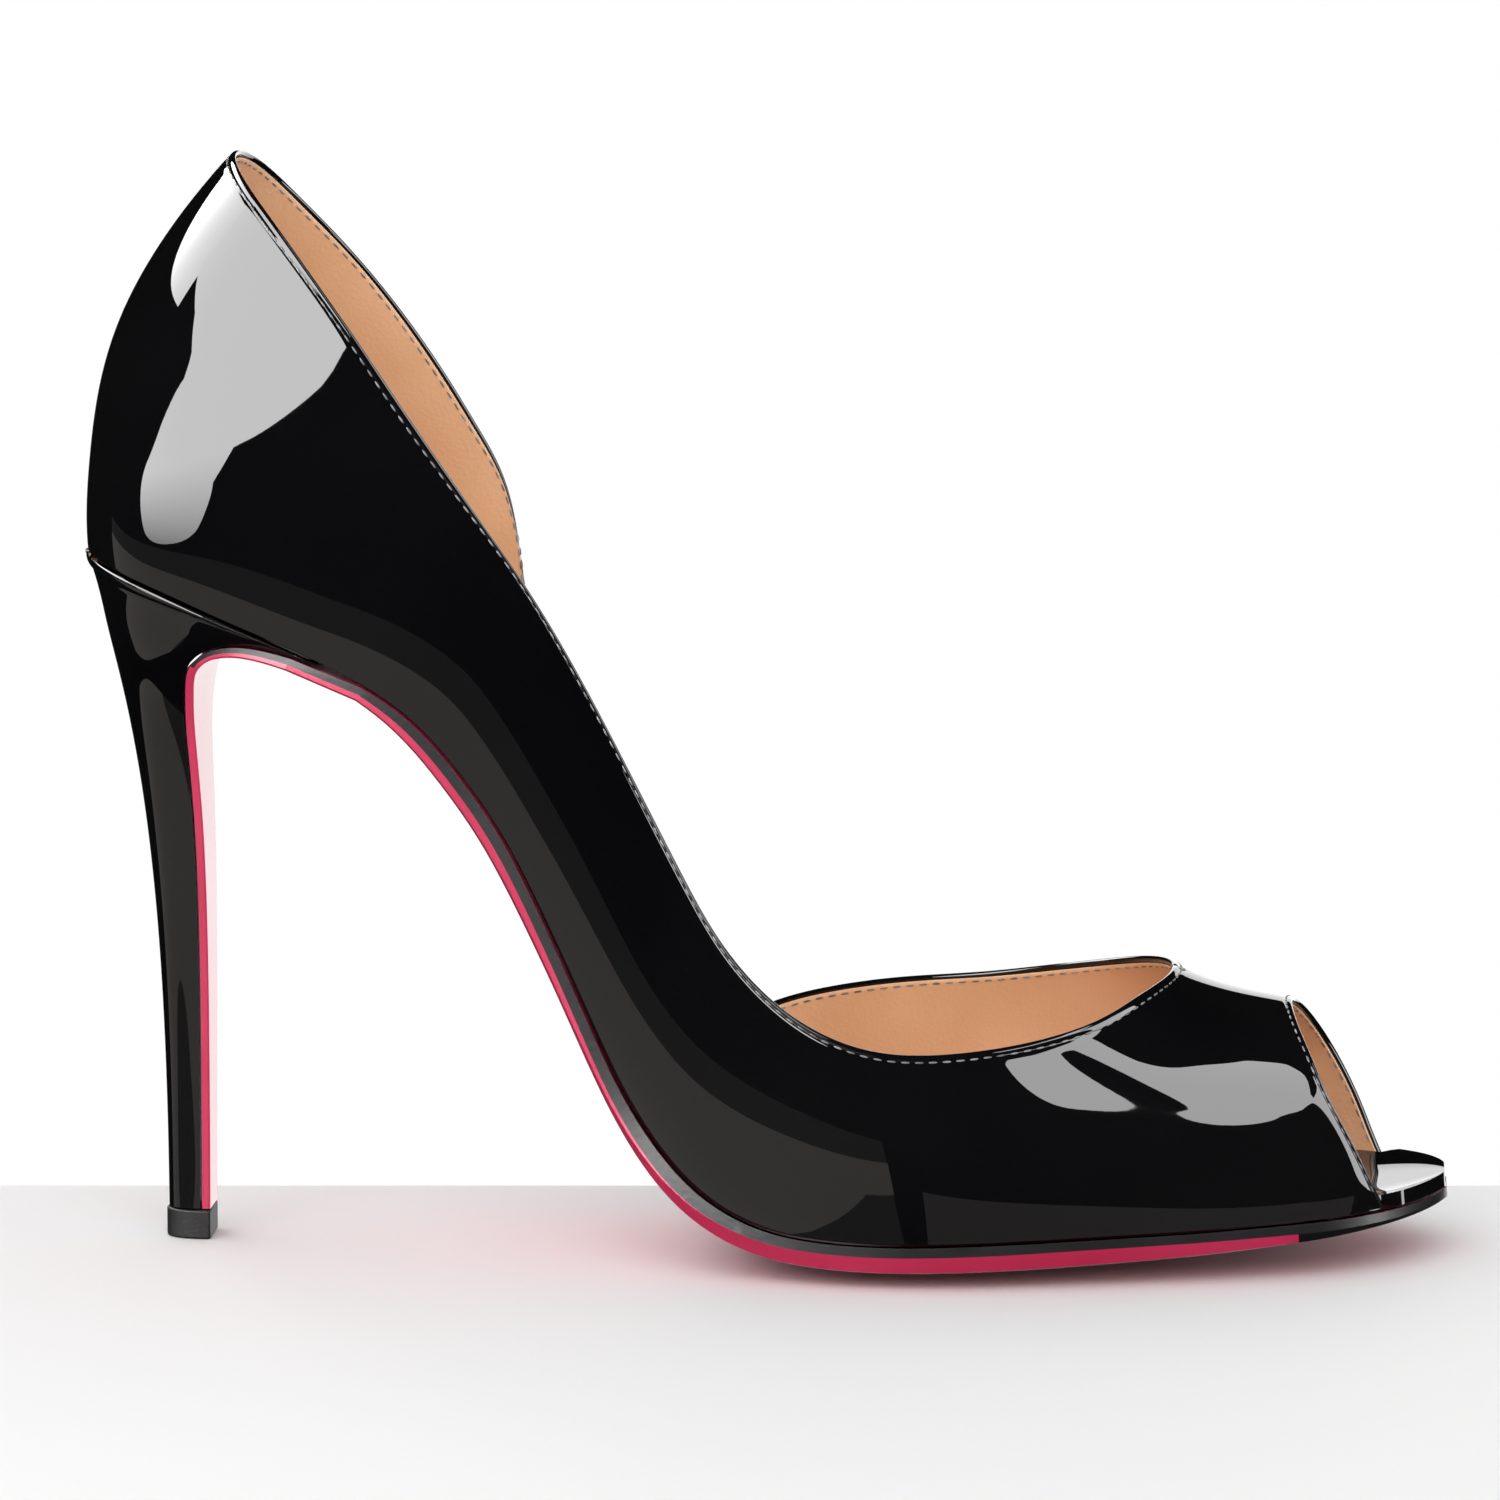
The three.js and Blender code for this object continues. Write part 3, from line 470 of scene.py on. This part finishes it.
def sewing_thread():
    material, tree, shader = new_material("sewing_thread", Roughness=0.45, Specular_IOR_Level=0.5)
    grain = use_grain(tree, 2500.0, 300.0)
    tree.links.new(vary(tree, grain.outputs["Patches"], (0.1, 0.1, 0.105), (0.25, 0.25, 0.26)),
                   shader.inputs["Base Color"])
    add_bump(tree, shader, grain.outputs["Height"], 0.3, 0.0001)
    return material


def tip_rubber():
    material, tree, shader = new_material("tip_rubber", Roughness=0.5, Specular_IOR_Level=0.25)
    grain = use_grain(tree, 1600.0, 120.0)
    tree.links.new(vary(tree, grain.outputs["Patches"], (0.006, 0.006, 0.006), (0.013, 0.012, 0.012)),
                   shader.inputs["Base Color"])
    add_bump(tree, shader, grain.outputs["Height"], 0.2, 0.0002)
    return material


PATENT = patent_leather()
LINING = lining_leather()
LACQUER = sole_lacquer()
INK = edge_ink()
THREAD = sewing_thread()
RUBBER = tip_rubber()

# The upper

OPENING_COLUMNS = 34
COLLAR_COLUMNS = 150
MIDDLE_ROWS = 34
EDGE_ZONE = 3.0
SKIN = 1.0
FOLD = 0.5
STITCH_LINE = 1.3
STITCH_PITCH = 2.2
STITCH_LENGTH = 1.4
STITCH_RADIUS = 0.17
STITCH_PULL = 0.13
BAR_STITCHES = 9
BAR_START = 1.5
BAR_STEP = 0.42
BAR_LENGTH = 2.6
BAR_RADIUS = 0.2


def evenly(place, count):
    """Places (u, turn) at equal distances along a line on the last. place takes shares from 0 to 1."""
    fine = np.linspace(0, 1, 1201)
    u, turn = place(fine)
    steps = np.linalg.norm(np.diff(last_point(u, turn), axis=0), axis=1)
    run = np.concatenate([[0], np.cumsum(steps)])
    return place(np.interp(np.linspace(0, run[-1], count + 1), run, fine))


def side_line(xs, zs, start=None, end=None):
    line_x, line_z = smooth(xs), smooth(zs)

    def place(w):
        u, _, turn = on_last(line_x(w), line_z(w))
        if start is not None:
            turn = np.where(w <= 0, start, turn)
        if end is not None:
            turn = np.where(w >= 1, end, turn)
        return u, turn

    return place


def half_wall(side):
    """Both ends of the wall's lines on one side: arrays u, turn of the topline and of the lower edge."""
    rows = TOPLINE[side]
    topline = side_line(along(rows[:, 0]), height(rows[:, 1], rows[:, 2], rows[:, 3]), 0, math.pi)
    rows = TOE_OPENING[side]
    corner = float(seat_at(along(rows[-1, 0])))
    ridge = on_last(along(rows[0, 0]), height(0, rows[0, 1]))[0]
    xs = np.concatenate([[crown_x(ridge)], along(rows[1:-1, 0]), [seat_x(corner)]])
    zs = np.concatenate([[crown_z(ridge)], height(0, rows[1:-1, 1]), [seat_z(corner)]])
    opening = side_line(xs, zs, 0)

    def feather(w):
        v = mix(corner, SEAT_BACK, 1 - (1 - w) ** 1.5)
        u, _, turn = on_last(seat_x(v), seat_z(v))
        return u, np.where(w >= 1, math.pi, turn)

    def joined(first, second):
        return [np.concatenate([a, b[1:]]) for a, b in zip(first, second)]

    top = joined(evenly(lambda w: topline(w * FRONT_SHARE), OPENING_COLUMNS),
                 evenly(lambda w: topline(mix(FRONT_SHARE, 1, w)), COLLAR_COLUMNS))
    low = joined(evenly(opening, OPENING_COLUMNS), evenly(feather, COLLAR_COLUMNS))
    sign = 1 if side == "outer" else -1
    return top[0], sign * top[1], low[0], sign * low[1]


def whole_wall():
    outer, inner = half_wall("outer"), half_wall("inner")
    return [np.concatenate([a[::-1], b[1:]]) for a, b in zip(outer, inner)]


TOP_U, TOP_TURN, LOW_U, LOW_TURN = whole_wall()
COLUMNS = len(TOP_U)
WALL_RUN = np.zeros(COLUMNS)
for share in range(24):
    first = last_point(mix(TOP_U, LOW_U, share / 24), mix(TOP_TURN, LOW_TURN, share / 24))
    second = last_point(mix(TOP_U, LOW_U, (share + 1) / 24), mix(TOP_TURN, LOW_TURN, (share + 1) / 24))
    WALL_RUN += np.linalg.norm(second - first, axis=1)
AT_OPENING = np.abs(np.arange(COLUMNS) - (COLUMNS - 1) / 2) <= OPENING_COLUMNS


def wall_places(shares, down, depth):
    """Places on the wall, a row for each entry. A share runs from the topline to the lower edge. An entry of
    down, if not negative, is the distance from the nearer edge. Depth counts from the outer face. Both in
    millimetres."""
    rows = []
    for share, distance, d in zip(shares, down, depth):
        r = distance / WALL_RUN if share < 0.5 else 1 - distance / WALL_RUN
        if distance < 0:
            r = mix(EDGE_ZONE / WALL_RUN, 1 - EDGE_ZONE / WALL_RUN, share)
        u, turn = mix(TOP_U, LOW_U, r), mix(TOP_TURN, LOW_TURN, r)
        depth_here = d(share) if callable(d) else np.full(COLUMNS, d)
        rows.append(last_point(u, turn) - last_normal(u, turn) * depth_here[:, None])
    return np.array(rows)


def groove(distance):
    """How deep the thread pulls the leather in at a distance from the edge."""
    return STITCH_PULL * math.exp(-((distance - STITCH_LINE) / 0.33) ** 2)


def skin_profile():
    """The patent leather's section: down the outside, round both folded edges and up inside."""
    fold = [(FOLD * (1 - math.sin(a)), FOLD * (1 - math.cos(a))) for a in np.linspace(0, math.pi, 9)]
    near = [0.72, 0.95, 1.12, 1.27, 1.43, 1.6, 1.85, 2.2]
    entries = []
    for d, h in reversed(fold[:-1]):
        entries.append((0, d, h))
    for d in near:
        entries.append((0, d, groove(d)))
    for i in range(MIDDLE_ROWS + 1):
        entries.append((i / MIDDLE_ROWS, -1, 0.0))
    for d in reversed(near):
        entries.append((1, d, lambda share, d=d: np.where(AT_OPENING, groove(d), 0.0)))
    for d, h in fold:
        entries.append((1, d, h))
    for d in (1.4, 2.6):
        entries.append((1, d, SKIN))
    for i in range(9):
        entries.append((0.92 - 0.84 * i / 8, -1, SKIN))
    for d in (2.6, 1.4, 0.5):
        entries.append((0, d, SKIN))
    entries.append(entries[0])
    return entries


def lining_profile():
    """The lining's section: from its cut edge under the fold, down the inside to the insole and back."""
    outside, inside = SKIN + 0.03, WALL
    entries = [(0, 0.85, outside), (0, 0.7, (outside + inside) / 2), (0, 0.85, inside), (0, 1.5, inside),
               (0, 2.6, inside)]
    entries += [(i / 30, -1, inside) for i in range(31)]
    entries += [(1, 2.2, inside), (1, 0.85, inside), (1, 0.7, (outside + inside) / 2), (1, 0.85, outside)]
    entries += [(0.9 - 0.8 * i / 8, -1, outside) for i in range(9)]
    entries.append(entries[0])
    return entries


def wall_piece(name, profile, material):
    places = wall_places(*zip(*profile))
    bm = grid(COLUMNS, len(profile), places)
    return finish(bm, name, [material], "upper", sharp=60)


wall_piece("upper_skin", skin_profile(), PATENT)
wall_piece("upper_lining", lining_profile(), LINING)


# Stitches

def line_on_wall(columns, from_top, distance, depth):
    """Points and outward normals along the wall at a distance from the topline or the lower edge."""
    run = WALL_RUN[columns]
    r = distance / run if from_top else 1 - distance / run
    u = mix(TOP_U[columns], LOW_U[columns], r)
    turn = mix(TOP_TURN[columns], LOW_TURN[columns], r)
    normal = last_normal(u, turn)
    return last_point(u, turn) - normal * depth, normal


def sew(bm, points, normals, pitch, length, radius):
    run = np.concatenate([[0], np.cumsum(np.linalg.norm(np.diff(points, axis=0), axis=1))])
    count = int(run[-1] / pitch)
    for i in range(count):
        at = (i + 0.5) * run[-1] / count
        ends = [np.array([np.interp(s, run, points[:, k]) for k in range(3)])
                for s in (at - length / 2, at + length / 2)]
        normal = np.array([np.interp(at, run, normals[:, k]) for k in range(3)])
        forward = Vector(ends[1] - ends[0]).normalized()
        upright = Vector(normal).normalized()
        aside = forward.cross(upright).normalized()
        upright = aside.cross(forward)
        turned = Matrix((forward, aside, upright)).transposed().to_4x4()
        middle = Vector((ends[0] + ends[1]) / 2 * MM)
        size = Matrix.Diagonal((length / 2 * MM, radius * MM, radius * MM, 1))
        place = Matrix.Translation(middle) @ turned @ size @ Matrix.Rotation(math.pi / 2, 4, "Y")
        bmesh.ops.create_uvsphere(bm, u_segments=6, v_segments=6, radius=1, matrix=place)


def stitches():
    bm = bmesh.new()
    whole = np.arange(COLUMNS)
    front = np.arange(COLUMNS)[AT_OPENING][2:-2]
    for depth in (0.1, WALL + 0.02):
        for columns, from_top in ((whole, True), (front, False)):
            points, normals = line_on_wall(columns, from_top, STITCH_LINE, depth)
            sew(bm, points, normals, STITCH_PITCH, STITCH_LENGTH, STITCH_RADIUS)
    # the bar tack across the peak
    peak = np.array([3, 0, COLUMNS - 1, COLUMNS - 4])
    for i in range(BAR_STITCHES):
        points, normals = line_on_wall(peak, True, BAR_START + BAR_STEP * i, -0.02)
        sew(bm, points, normals, 9.0, BAR_LENGTH, BAR_RADIUS)
    return finish(bm, "stitches", [THREAD])


stitches()


# The insole and the sock

def bed_sheet(name, start, stop, inset, low, high, material, replaces, bevel):
    stations = 150
    w = np.linspace(start, stop, stations)
    room = inset(mix(SEAT_TIP, SEAT_BACK, (1 - np.cos(np.pi * w)) / 2))
    outer_v, outer_y = outline(w, 1, room)
    inner_v, inner_y = outline(w, -1, room)
    across = np.linspace(0, 1, 17)
    v = mix(outer_v, inner_v, across[:, None])
    y = mix(outer_y, inner_y, across[:, None])
    ux, uz = seat_up(v)
    dip = seat_dip(v) * dip_share(y, bed_edge(v, 1), bed_edge(v, -1))
    faces = []
    for level in (high, low):
        h = level - dip
        faces.append(np.stack([seat_x(v) + ux * h, y, seat_z(v) + uz * h], -1))
    ring = np.concatenate([faces[0], faces[1][::-1], faces[0][:1]])
    bm = grid(stations, len(ring), ring)
    piece = finish(bm, name, [material], replaces, ends=True, sharp=40)
    round_edges(piece, bevel)
    return piece


def round_edges(piece, width, segments=3, angle=35):
    bevel = piece.modifiers.new("rounding", "BEVEL")
    bevel.width = width * MM
    bevel.segments = segments
    bevel.limit_method = "ANGLE"
    bevel.angle_limit = math.radians(angle)
    bevel.use_clamp_overlap = True


def eased(t):
    t = np.clip(t, 0, 1)
    return t * t * (3 - 2 * t)


TOE_CORNER = float(seat_at(along(TOE_OPENING["inner"][-1, 0]) + 0.5))
TOE_FREE = float(seat_at(along(TOE_OPENING["inner"][-1, 0]) + 1.8))


def inside_room(v):
    return mix(0.1, WALL + SIDE_ROOM, eased((v - TOE_FREE) / (TOE_CORNER - TOE_FREE)))


def sock_room(v):
    front = eased((seat_x(v) - along(1) + 2 * TOE_BARE) / TOE_BARE)
    return mix(WALL + SIDE_ROOM + SOCK_INSET, TOE_BARE, front)


bed_sheet("insole_board", 0.012, 0.988, inside_room, 0, INSOLE, PATENT, "insole", 0.5)
bed_sheet("sock_lining", 0.02, 0.98, sock_room, INSOLE + 0.02, INSOLE + GAP + SOCK, LINING, "sock",
          0.3)


# The heel

RIM_HALF = 0.95
RIM_HIGH = 0.42
SEAM_DOWN = 2.15
SEAM_DEEP = 0.1


def under_seat(v, depth):
    ux, uz = seat_up(v)
    return seat_x(v) - ux * depth, seat_z(v) - uz * depth


def heel_end(column):
    return HEEL[:, column] * HEEL_OVERHANG, TIP_HEIGHT + GAP + HEEL[:, column + 1] * HEEL_HEIGHT


WING_UNDER = under_seat(SEAT_WING, GAP)
WING_HALF = float(bed_edge(SEAT_WING, -1) - bed_edge(SEAT_WING, 1)) / 2 + HEEL_LEDGE
WING_MIDDLE = float(bed_edge(SEAT_WING, -1) + bed_edge(SEAT_WING, 1)) / 2
front_x = smooth(np.append(heel_end(2)[0], WING_UNDER[0]))
front_z = smooth(np.append(heel_end(2)[1], WING_UNDER[1]))
heel_half = smooth(np.append(HEEL[:, 4] * BALL_WIDTH, WING_HALF))
heel_middle = smooth(np.append(np.zeros(len(HEEL)), WING_MIDDLE))


def heel():
    round_steps, levels = 48, 150
    angles = np.linspace(1, -1, 2 * round_steps + 1) * math.pi / 2
    (back_x, back_z), (head_x, head_z) = heel_end(0), heel_end(2)
    reach = 1 - np.cos(angles)
    side = (np.sin(angles) + 0.05 * np.sin(3 * angles)) / 0.95
    planes = []
    for i in range(len(HEEL)):
        planes.append(np.stack([mix(back_x[i], head_x[i], reach), HEEL[i, 4] * BALL_WIDTH * side,
                                mix(back_z[i], head_z[i], reach)], -1))
    seat_back = float(seat_x(SEAT_BACK)) - HEEL_LEDGE
    x = mix(seat_back, float(seat_x(SEAT_WING)), reach)
    ux, uz = under_seat(seat_at(x), GAP)
    sign = np.where(angles < 0, 1, -1)
    edge = bed_edge(seat_at(np.maximum(x, float(seat_x(SEAT_BACK)))), sign)
    y = np.where(np.abs(angles) < 1e-6, 0, edge - sign * HEEL_LEDGE * np.sin(np.abs(angles)))
    planes.append(np.stack([ux, y, uz], -1))
    planes = np.array(planes)
    t = np.linspace(0, 1, levels + 1) ** 0.8
    rings = np.array([[smooth(planes[:, j, axis])(t) for axis in range(3)] for j in range(len(angles))])
    rings = rings.transpose(2, 0, 1)
    # the cover's rolled rim, round the top of the seat
    run = np.linalg.norm(np.diff(rings, axis=0), axis=2)
    down = np.concatenate([np.cumsum(run[::-1], axis=0)[::-1], np.zeros((1, len(angles)))])
    bulge = RIM_HIGH * np.sqrt(np.clip(1 - ((down - RIM_HALF) / RIM_HALF) ** 2, 0, 1))
    bulge = bulge - SEAM_DEEP * np.exp(-((down - SEAM_DOWN) / 0.3) ** 2)
    out = np.stack([-np.cos(angles), np.sin(angles), np.zeros_like(angles)], -1)
    rings = rings + (bulge * np.clip(np.abs(np.cos(angles)) * 6, 0, 1))[..., None] * out[None]
    breast = np.linspace(0, 1, 9)[1:-1]
    front = mix(rings[:, -1:, :], rings[:, :1, :], breast[None, :, None])
    closed = np.concatenate([rings, front, rings[:, :1, :]], axis=1)
    bm = grid(closed.shape[1], closed.shape[0], closed)
    piece = finish(bm, "heel_cover", [PATENT], "heel", ends=True, sharp=50)
    round_edges(piece, 0.3, angle=50)
    return piece


heel()


# The outsole

ARCH_INK = 0.6
ARCH_INK_START = 55.0
ARCH_INK_RUN = 40.0
TOE_INK = 183.0
INK_END_X = 12.0
INK_END_Z = 96.5


def sole_spine():
    seat_start = float(seat_at(along(HEEL_WING) + 7))
    t = np.linspace(0, 1, 130)
    v = mix(SEAT_TIP + 2e-5, seat_start, mix(t, 1 - np.cos(math.pi / 2 * t), 0.75))
    x, z = under_seat(v, GAP)
    seat_part = [x, z, bed_edge(v, 1) - LEDGE, bed_edge(v, -1) + LEDGE, seat_dip(v), seat_thick(v),
                 seat_band(v)]
    w = mix(0.96, 0, np.linspace(0, 1, 90) ** 1.35)
    step = 1e-4
    dx = front_x(w + step) - front_x(np.maximum(0, w - step))
    dz = front_z(w + step) - front_z(np.maximum(0, w - step))
    size = np.hypot(dx, dz)
    thick = mix(BREAST, float(seat_thick(seat_start)), np.clip((w - 0.8) / 0.2, 0, 1))
    heel_part = [front_x(w) + dz / size * GAP, front_z(w) - dx / size * GAP, heel_middle(w) - heel_half(w),
                 heel_middle(w) + heel_half(w), w * 0, thick,
                 w * 0 + float(seat_band(seat_start))]
    return [np.concatenate(pair) for pair in zip(seat_part, heel_part)]


def outsole():
    x, z, outer, inner, dip, thick, band = sole_spine()
    n = len(x)
    before, after = np.maximum(0, np.arange(n) - 1), np.minimum(n - 1, np.arange(n) + 1)
    dx, dz = x[after] - x[before], z[after] - z[before]
    size = np.hypot(dx, dz)
    down = (-dz / size, dx / size)
    half = (inner - outer) / 2
    bevel = np.minimum(half * 0.45, EDGE_BEVEL * np.clip((thick - BREAST) / (SOLE - BREAST), 0, 1) + 0.15)
    shares = np.linspace(0, 1, 17)
    ys = np.concatenate([[outer], mix(outer + bevel, inner - bevel, shares[:, None]), [inner]])
    sag = dip * dip_share(ys, outer, inner)
    top = np.stack([x + down[0] * sag, ys, z + down[1] * sag], -1)
    deep = sag + thick * np.concatenate([[band], np.ones((17, n)), [band]])
    under = np.stack([x + down[0] * deep, ys, np.maximum(0, z + down[1] * deep)], -1)
    inked = mix(ARCH_INK, 1, eased((x - ARCH_INK_START) / ARCH_INK_RUN))
    line = mix(top[[-1, 0]], under[[-1, 0]], inked[None, :, None])
    ring = np.concatenate([top, line[:1], under[::-1], line[1:], top[:1]])
    bm = grid(n, len(ring), ring)
    # the upright edge is inked black from the sole's top down, near the toe with its lower corner
    rows = len(ring)
    bm.verts.index_update()
    for face in bm.faces:
        row, column = divmod(min(v.index for v in face.verts), n)
        here = min(column, n - 1)
        on_band = row in (18, rows - 2) and (x[here] > INK_END_X or z[here] > INK_END_Z)
        at_toe = row in (19, 20, rows - 4, rows - 3) and x[here] > TOE_INK
        face.material_index = 1 if on_band or at_toe else 0
    piece = finish(bm, "sole_leather", [LACQUER, INK], "outsole", ends=True, sharp=30)
    round_edges(piece, 0.22, angle=25)
    return piece


outsole()


# The heel's tip

def top_lift():
    half = HEEL[0, 4] * BALL_WIDTH + TIP_LEDGE
    back = HEEL[0, 0] * HEEL_OVERHANG - TIP_LEDGE
    bm = bmesh.new()
    corners = []
    for angle in np.linspace(-1, 1, 49) * math.pi / 2:
        x = back + TIP_LENGTH * (1 - math.cos(angle))
        y = half * (math.sin(angle) + 0.05 * math.sin(3 * angle)) / 0.95
        corners.append(bm.verts.new((x * MM, y * MM, 0)))
    floor_face = bm.faces.new(corners)
    raised = bmesh.ops.extrude_face_region(bm, geom=[floor_face])
    top = [v for v in raised["geom"] if isinstance(v, bmesh.types.BMVert)]
    bmesh.ops.translate(bm, verts=top, vec=(0, 0, TIP_HEIGHT * MM))
    piece = finish(bm, "tip_lift", [RUBBER], "top_lift", sharp=40)
    round_edges(piece, 0.28, angle=50)
    return piece


top_lift()


# Floor, lights and camera

TARGET = Vector((0.09235, 0.00041, 0.08124))
AZIMUTH, ELEVATION, DISTANCE = math.radians(4.0), math.radians(8.0), 1.3
FLOOR_BACK = 0.0471


def floor():
    bm = bmesh.new()
    bmesh.ops.create_grid(bm, x_segments=1, y_segments=1, size=1)
    bmesh.ops.scale(bm, verts=bm.verts, vec=(2.2, 0.8, 1))
    bmesh.ops.translate(bm, verts=bm.verts, vec=(0, FLOOR_BACK - 0.8, 0))
    level = Matrix.Translation((TARGET.x, TARGET.y, -0.0001)) @ Matrix.Rotation(AZIMUTH, 4, "Z")
    bmesh.ops.transform(bm, matrix=level, verts=bm.verts)
    mesh = bpy.data.meshes.new("floor")
    bm.to_mesh(mesh)
    bm.free()
    material, tree, shader = new_material("floor_paint", Roughness=0.7, Specular_IOR_Level=0.2)
    grain = use_grain(tree, 40.0, 3.0)
    tree.links.new(vary(tree, grain.outputs["Patches"], (0.815, 0.815, 0.815), (0.83, 0.83, 0.83)),
                   shader.inputs["Base Color"])
    mesh.materials.append(material)
    piece = bpy.data.objects.new("floor", mesh)
    bpy.context.scene.collection.objects.link(piece)
    piece.visible_glossy = False


floor()


def surroundings():
    """White behind the shoe and for soft fill, dark for reflections, as in a studio of black screens."""
    world = bpy.data.worlds.new("studio")
    bpy.context.scene.world = world
    world.use_nodes = True
    tree = world.node_tree
    tree.nodes.clear()
    rays = node(tree, "ShaderNodeLightPath")
    seen = node(tree, "ShaderNodeBackground", {"Color": (1, 1, 1, 1), "Strength": 1.0})
    fill = node(tree, "ShaderNodeBackground", {"Color": (1, 1, 1, 1), "Strength": 0.75})
    dark = node(tree, "ShaderNodeBackground", {"Color": (1, 1, 1, 1), "Strength": 0.006})
    glossy = node(tree, "ShaderNodeMixShader",
                  {0: rays.outputs["Is Glossy Ray"], 1: fill.outputs[0], 2: dark.outputs[0]})
    both = node(tree, "ShaderNodeMixShader",
                {0: rays.outputs["Is Camera Ray"], 1: glossy.outputs[0], 2: seen.outputs[0]})
    end = node(tree, "ShaderNodeOutputWorld")
    tree.links.new(both.outputs[0], end.inputs["Surface"])


surroundings()


def soft_box(name, place, aim, width, height_m, strength):
    light = bpy.data.lights.new(name, "AREA")
    light.shape = "RECTANGLE"
    light.size = width
    light.size_y = height_m
    light.energy = strength * width * height_m * math.pi
    lamp = bpy.data.objects.new(name, light)
    bpy.context.scene.collection.objects.link(lamp)
    lamp.location = place
    lamp.rotation_euler = (Vector(aim) - Vector(place)).to_track_quat("-Z", "Y").to_euler()
    lamp.visible_camera = False
    lamp.visible_glossy = False


def bright_card(name, azimuth, elevation, distance, centre, outline_mm, strong, weak=None, low=0.0, high=1.0,
                rounding=0, tint=(1, 1, 1)):
    """A lit card that only reflections see. Its outline holds (right, up) in millimetres in its own plane,
    which faces centre. Its light runs from weak at the height low to strong at the height high, in metres."""
    a, e = math.radians(azimuth), math.radians(elevation)
    away = Vector((math.sin(a) * math.cos(e), -math.cos(a) * math.cos(e), math.sin(e)))
    right = Vector((0, 0, 1)).cross(away).normalized()
    up = away.cross(right)
    middle = (Vector(centre) + away * distance) * MM
    bm = bmesh.new()
    for _ in range(rounding):
        ends = zip(outline_mm, outline_mm[1:] + outline_mm[:1])
        outline_mm = [(mix(a[0], b[0], t), mix(a[1], b[1], t)) for a, b in ends for t in (0.25, 0.75)]
    bm.faces.new([bm.verts.new(middle + (right * r + up * u) * MM) for r, u in outline_mm])
    bmesh.ops.triangulate(bm, faces=bm.faces)
    mesh = bpy.data.meshes.new(name)
    bm.to_mesh(mesh)
    bm.free()
    material = bpy.data.materials.new(name)
    material.use_nodes = True
    tree = material.node_tree
    tree.nodes.clear()
    place = node(tree, "ShaderNodeTexCoord").outputs["Object"]
    level = node(tree, "ShaderNodeSeparateXYZ", {0: place}).outputs["Z"]
    spread = node(tree, "ShaderNodeMapRange", {"Value": level, "From Min": low, "From Max": high,
                                               "To Min": strong if weak is None else weak, "To Max": strong})
    light = node(tree, "ShaderNodeEmission", {"Color": (*tint, 1), "Strength": spread.outputs["Result"]})
    end = node(tree, "ShaderNodeOutputMaterial")
    tree.links.new(light.outputs[0], end.inputs["Surface"])
    mesh.materials.append(material)
    card = bpy.data.objects.new(name, mesh)
    bpy.context.scene.collection.objects.link(card)
    card.visible_camera = False
    card.visible_diffuse = False
    card.visible_shadow = False


soft_box("key", (0.0, -1.4, 1.1), (0.08, 0, 0.05), 2.0, 1.4, 1.9)

# The tall card on the left, that the counter mirrors
bright_card("card_left", -37, 0, 700, (10, -20, 140), [
    (-325, -179), (-1, -159), (102, -81), (110, -42), (144, -29), (268, -22), (456, 14), (600, 200),
    (300, 600), (-300, 900), (-900, 700), (-523, 442), (-117, 132), (-96, 50), (-245, 11), (-418, -25),
    (-416, -96),
], 13.5, 3.5, -0.045, 0.11, rounding=3)

# Its top, that the peak mirrors
bright_card("card_left_top", -112, 30, 800, (8, -13, 172), [
    (-600, -110), (640, -110), (640, 320), (-600, 320)], 14.0)

# The tall card on the right, that the vamp mirrors
bright_card("card_right", 50, 30, 800, (150, -30, 35), [
    (-316, -156), (-301, -240), (-237, -212), (-121, -65), (-78, 29), (20, 95), (136, 105), (298, -295),
    (564, -790), (950, -790), (950, 440), (480, 440), (373, 360), (150, 150), (95, 140), (135, 225),
    (215, 406), (262, 586), (330, 725), (200, 740), (60, 400), (20, 250), (10, 110), (-71, 50), (-258, -58),
], 8.5, rounding=3)

# The pale wall behind
bright_card("card_back", 172, 0, 900, (150, 0, 45), [(-350, -300), (350, -300), (350, 260), (-350, 260)], 1.9)

# The pale table, far in front and below
WARM = (1.0, 0.92, 0.86)
bright_card("card_low", -37, 0, 1300, (60, -30, 50), [
    (-2600, -350), (900, -350), (900, -590), (-560, -610), (-640, -700), (-700, -1900), (-2600, -1900),
], 0.68, tint=WARM)
bright_card("card_mid", -37, 0, 1310, (60, -30, 50), [
    (-2600, -230), (900, -230), (900, -1900), (-2600, -1900)], 0.16, tint=WARM)
bright_card("card_low_right", 40, 0, 1300, (60, -30, 50), [
    (-900, -520), (900, -430), (900, -1600), (-900, -1600)], 0.3, tint=WARM)

camera_data = bpy.data.cameras.new("camera")
camera_data.sensor_width = 36.0
camera_data.lens = 36.0 * 6.15 * 1300 / 1500
camera_data.clip_end = 20
camera = bpy.data.objects.new("camera", camera_data)
bpy.context.scene.collection.objects.link(camera)
level_part = math.cos(ELEVATION)
back = Vector((math.sin(AZIMUTH) * level_part, -math.cos(AZIMUTH) * level_part, math.sin(ELEVATION)))
camera.location = TARGET + back * DISTANCE
camera.rotation_euler = back.to_track_quat("Z", "Y").to_euler()
bpy.context.scene.camera = camera
bpy.context.scene.view_settings.view_transform = "Standard"
bpy.context.scene.view_settings.look = "None"
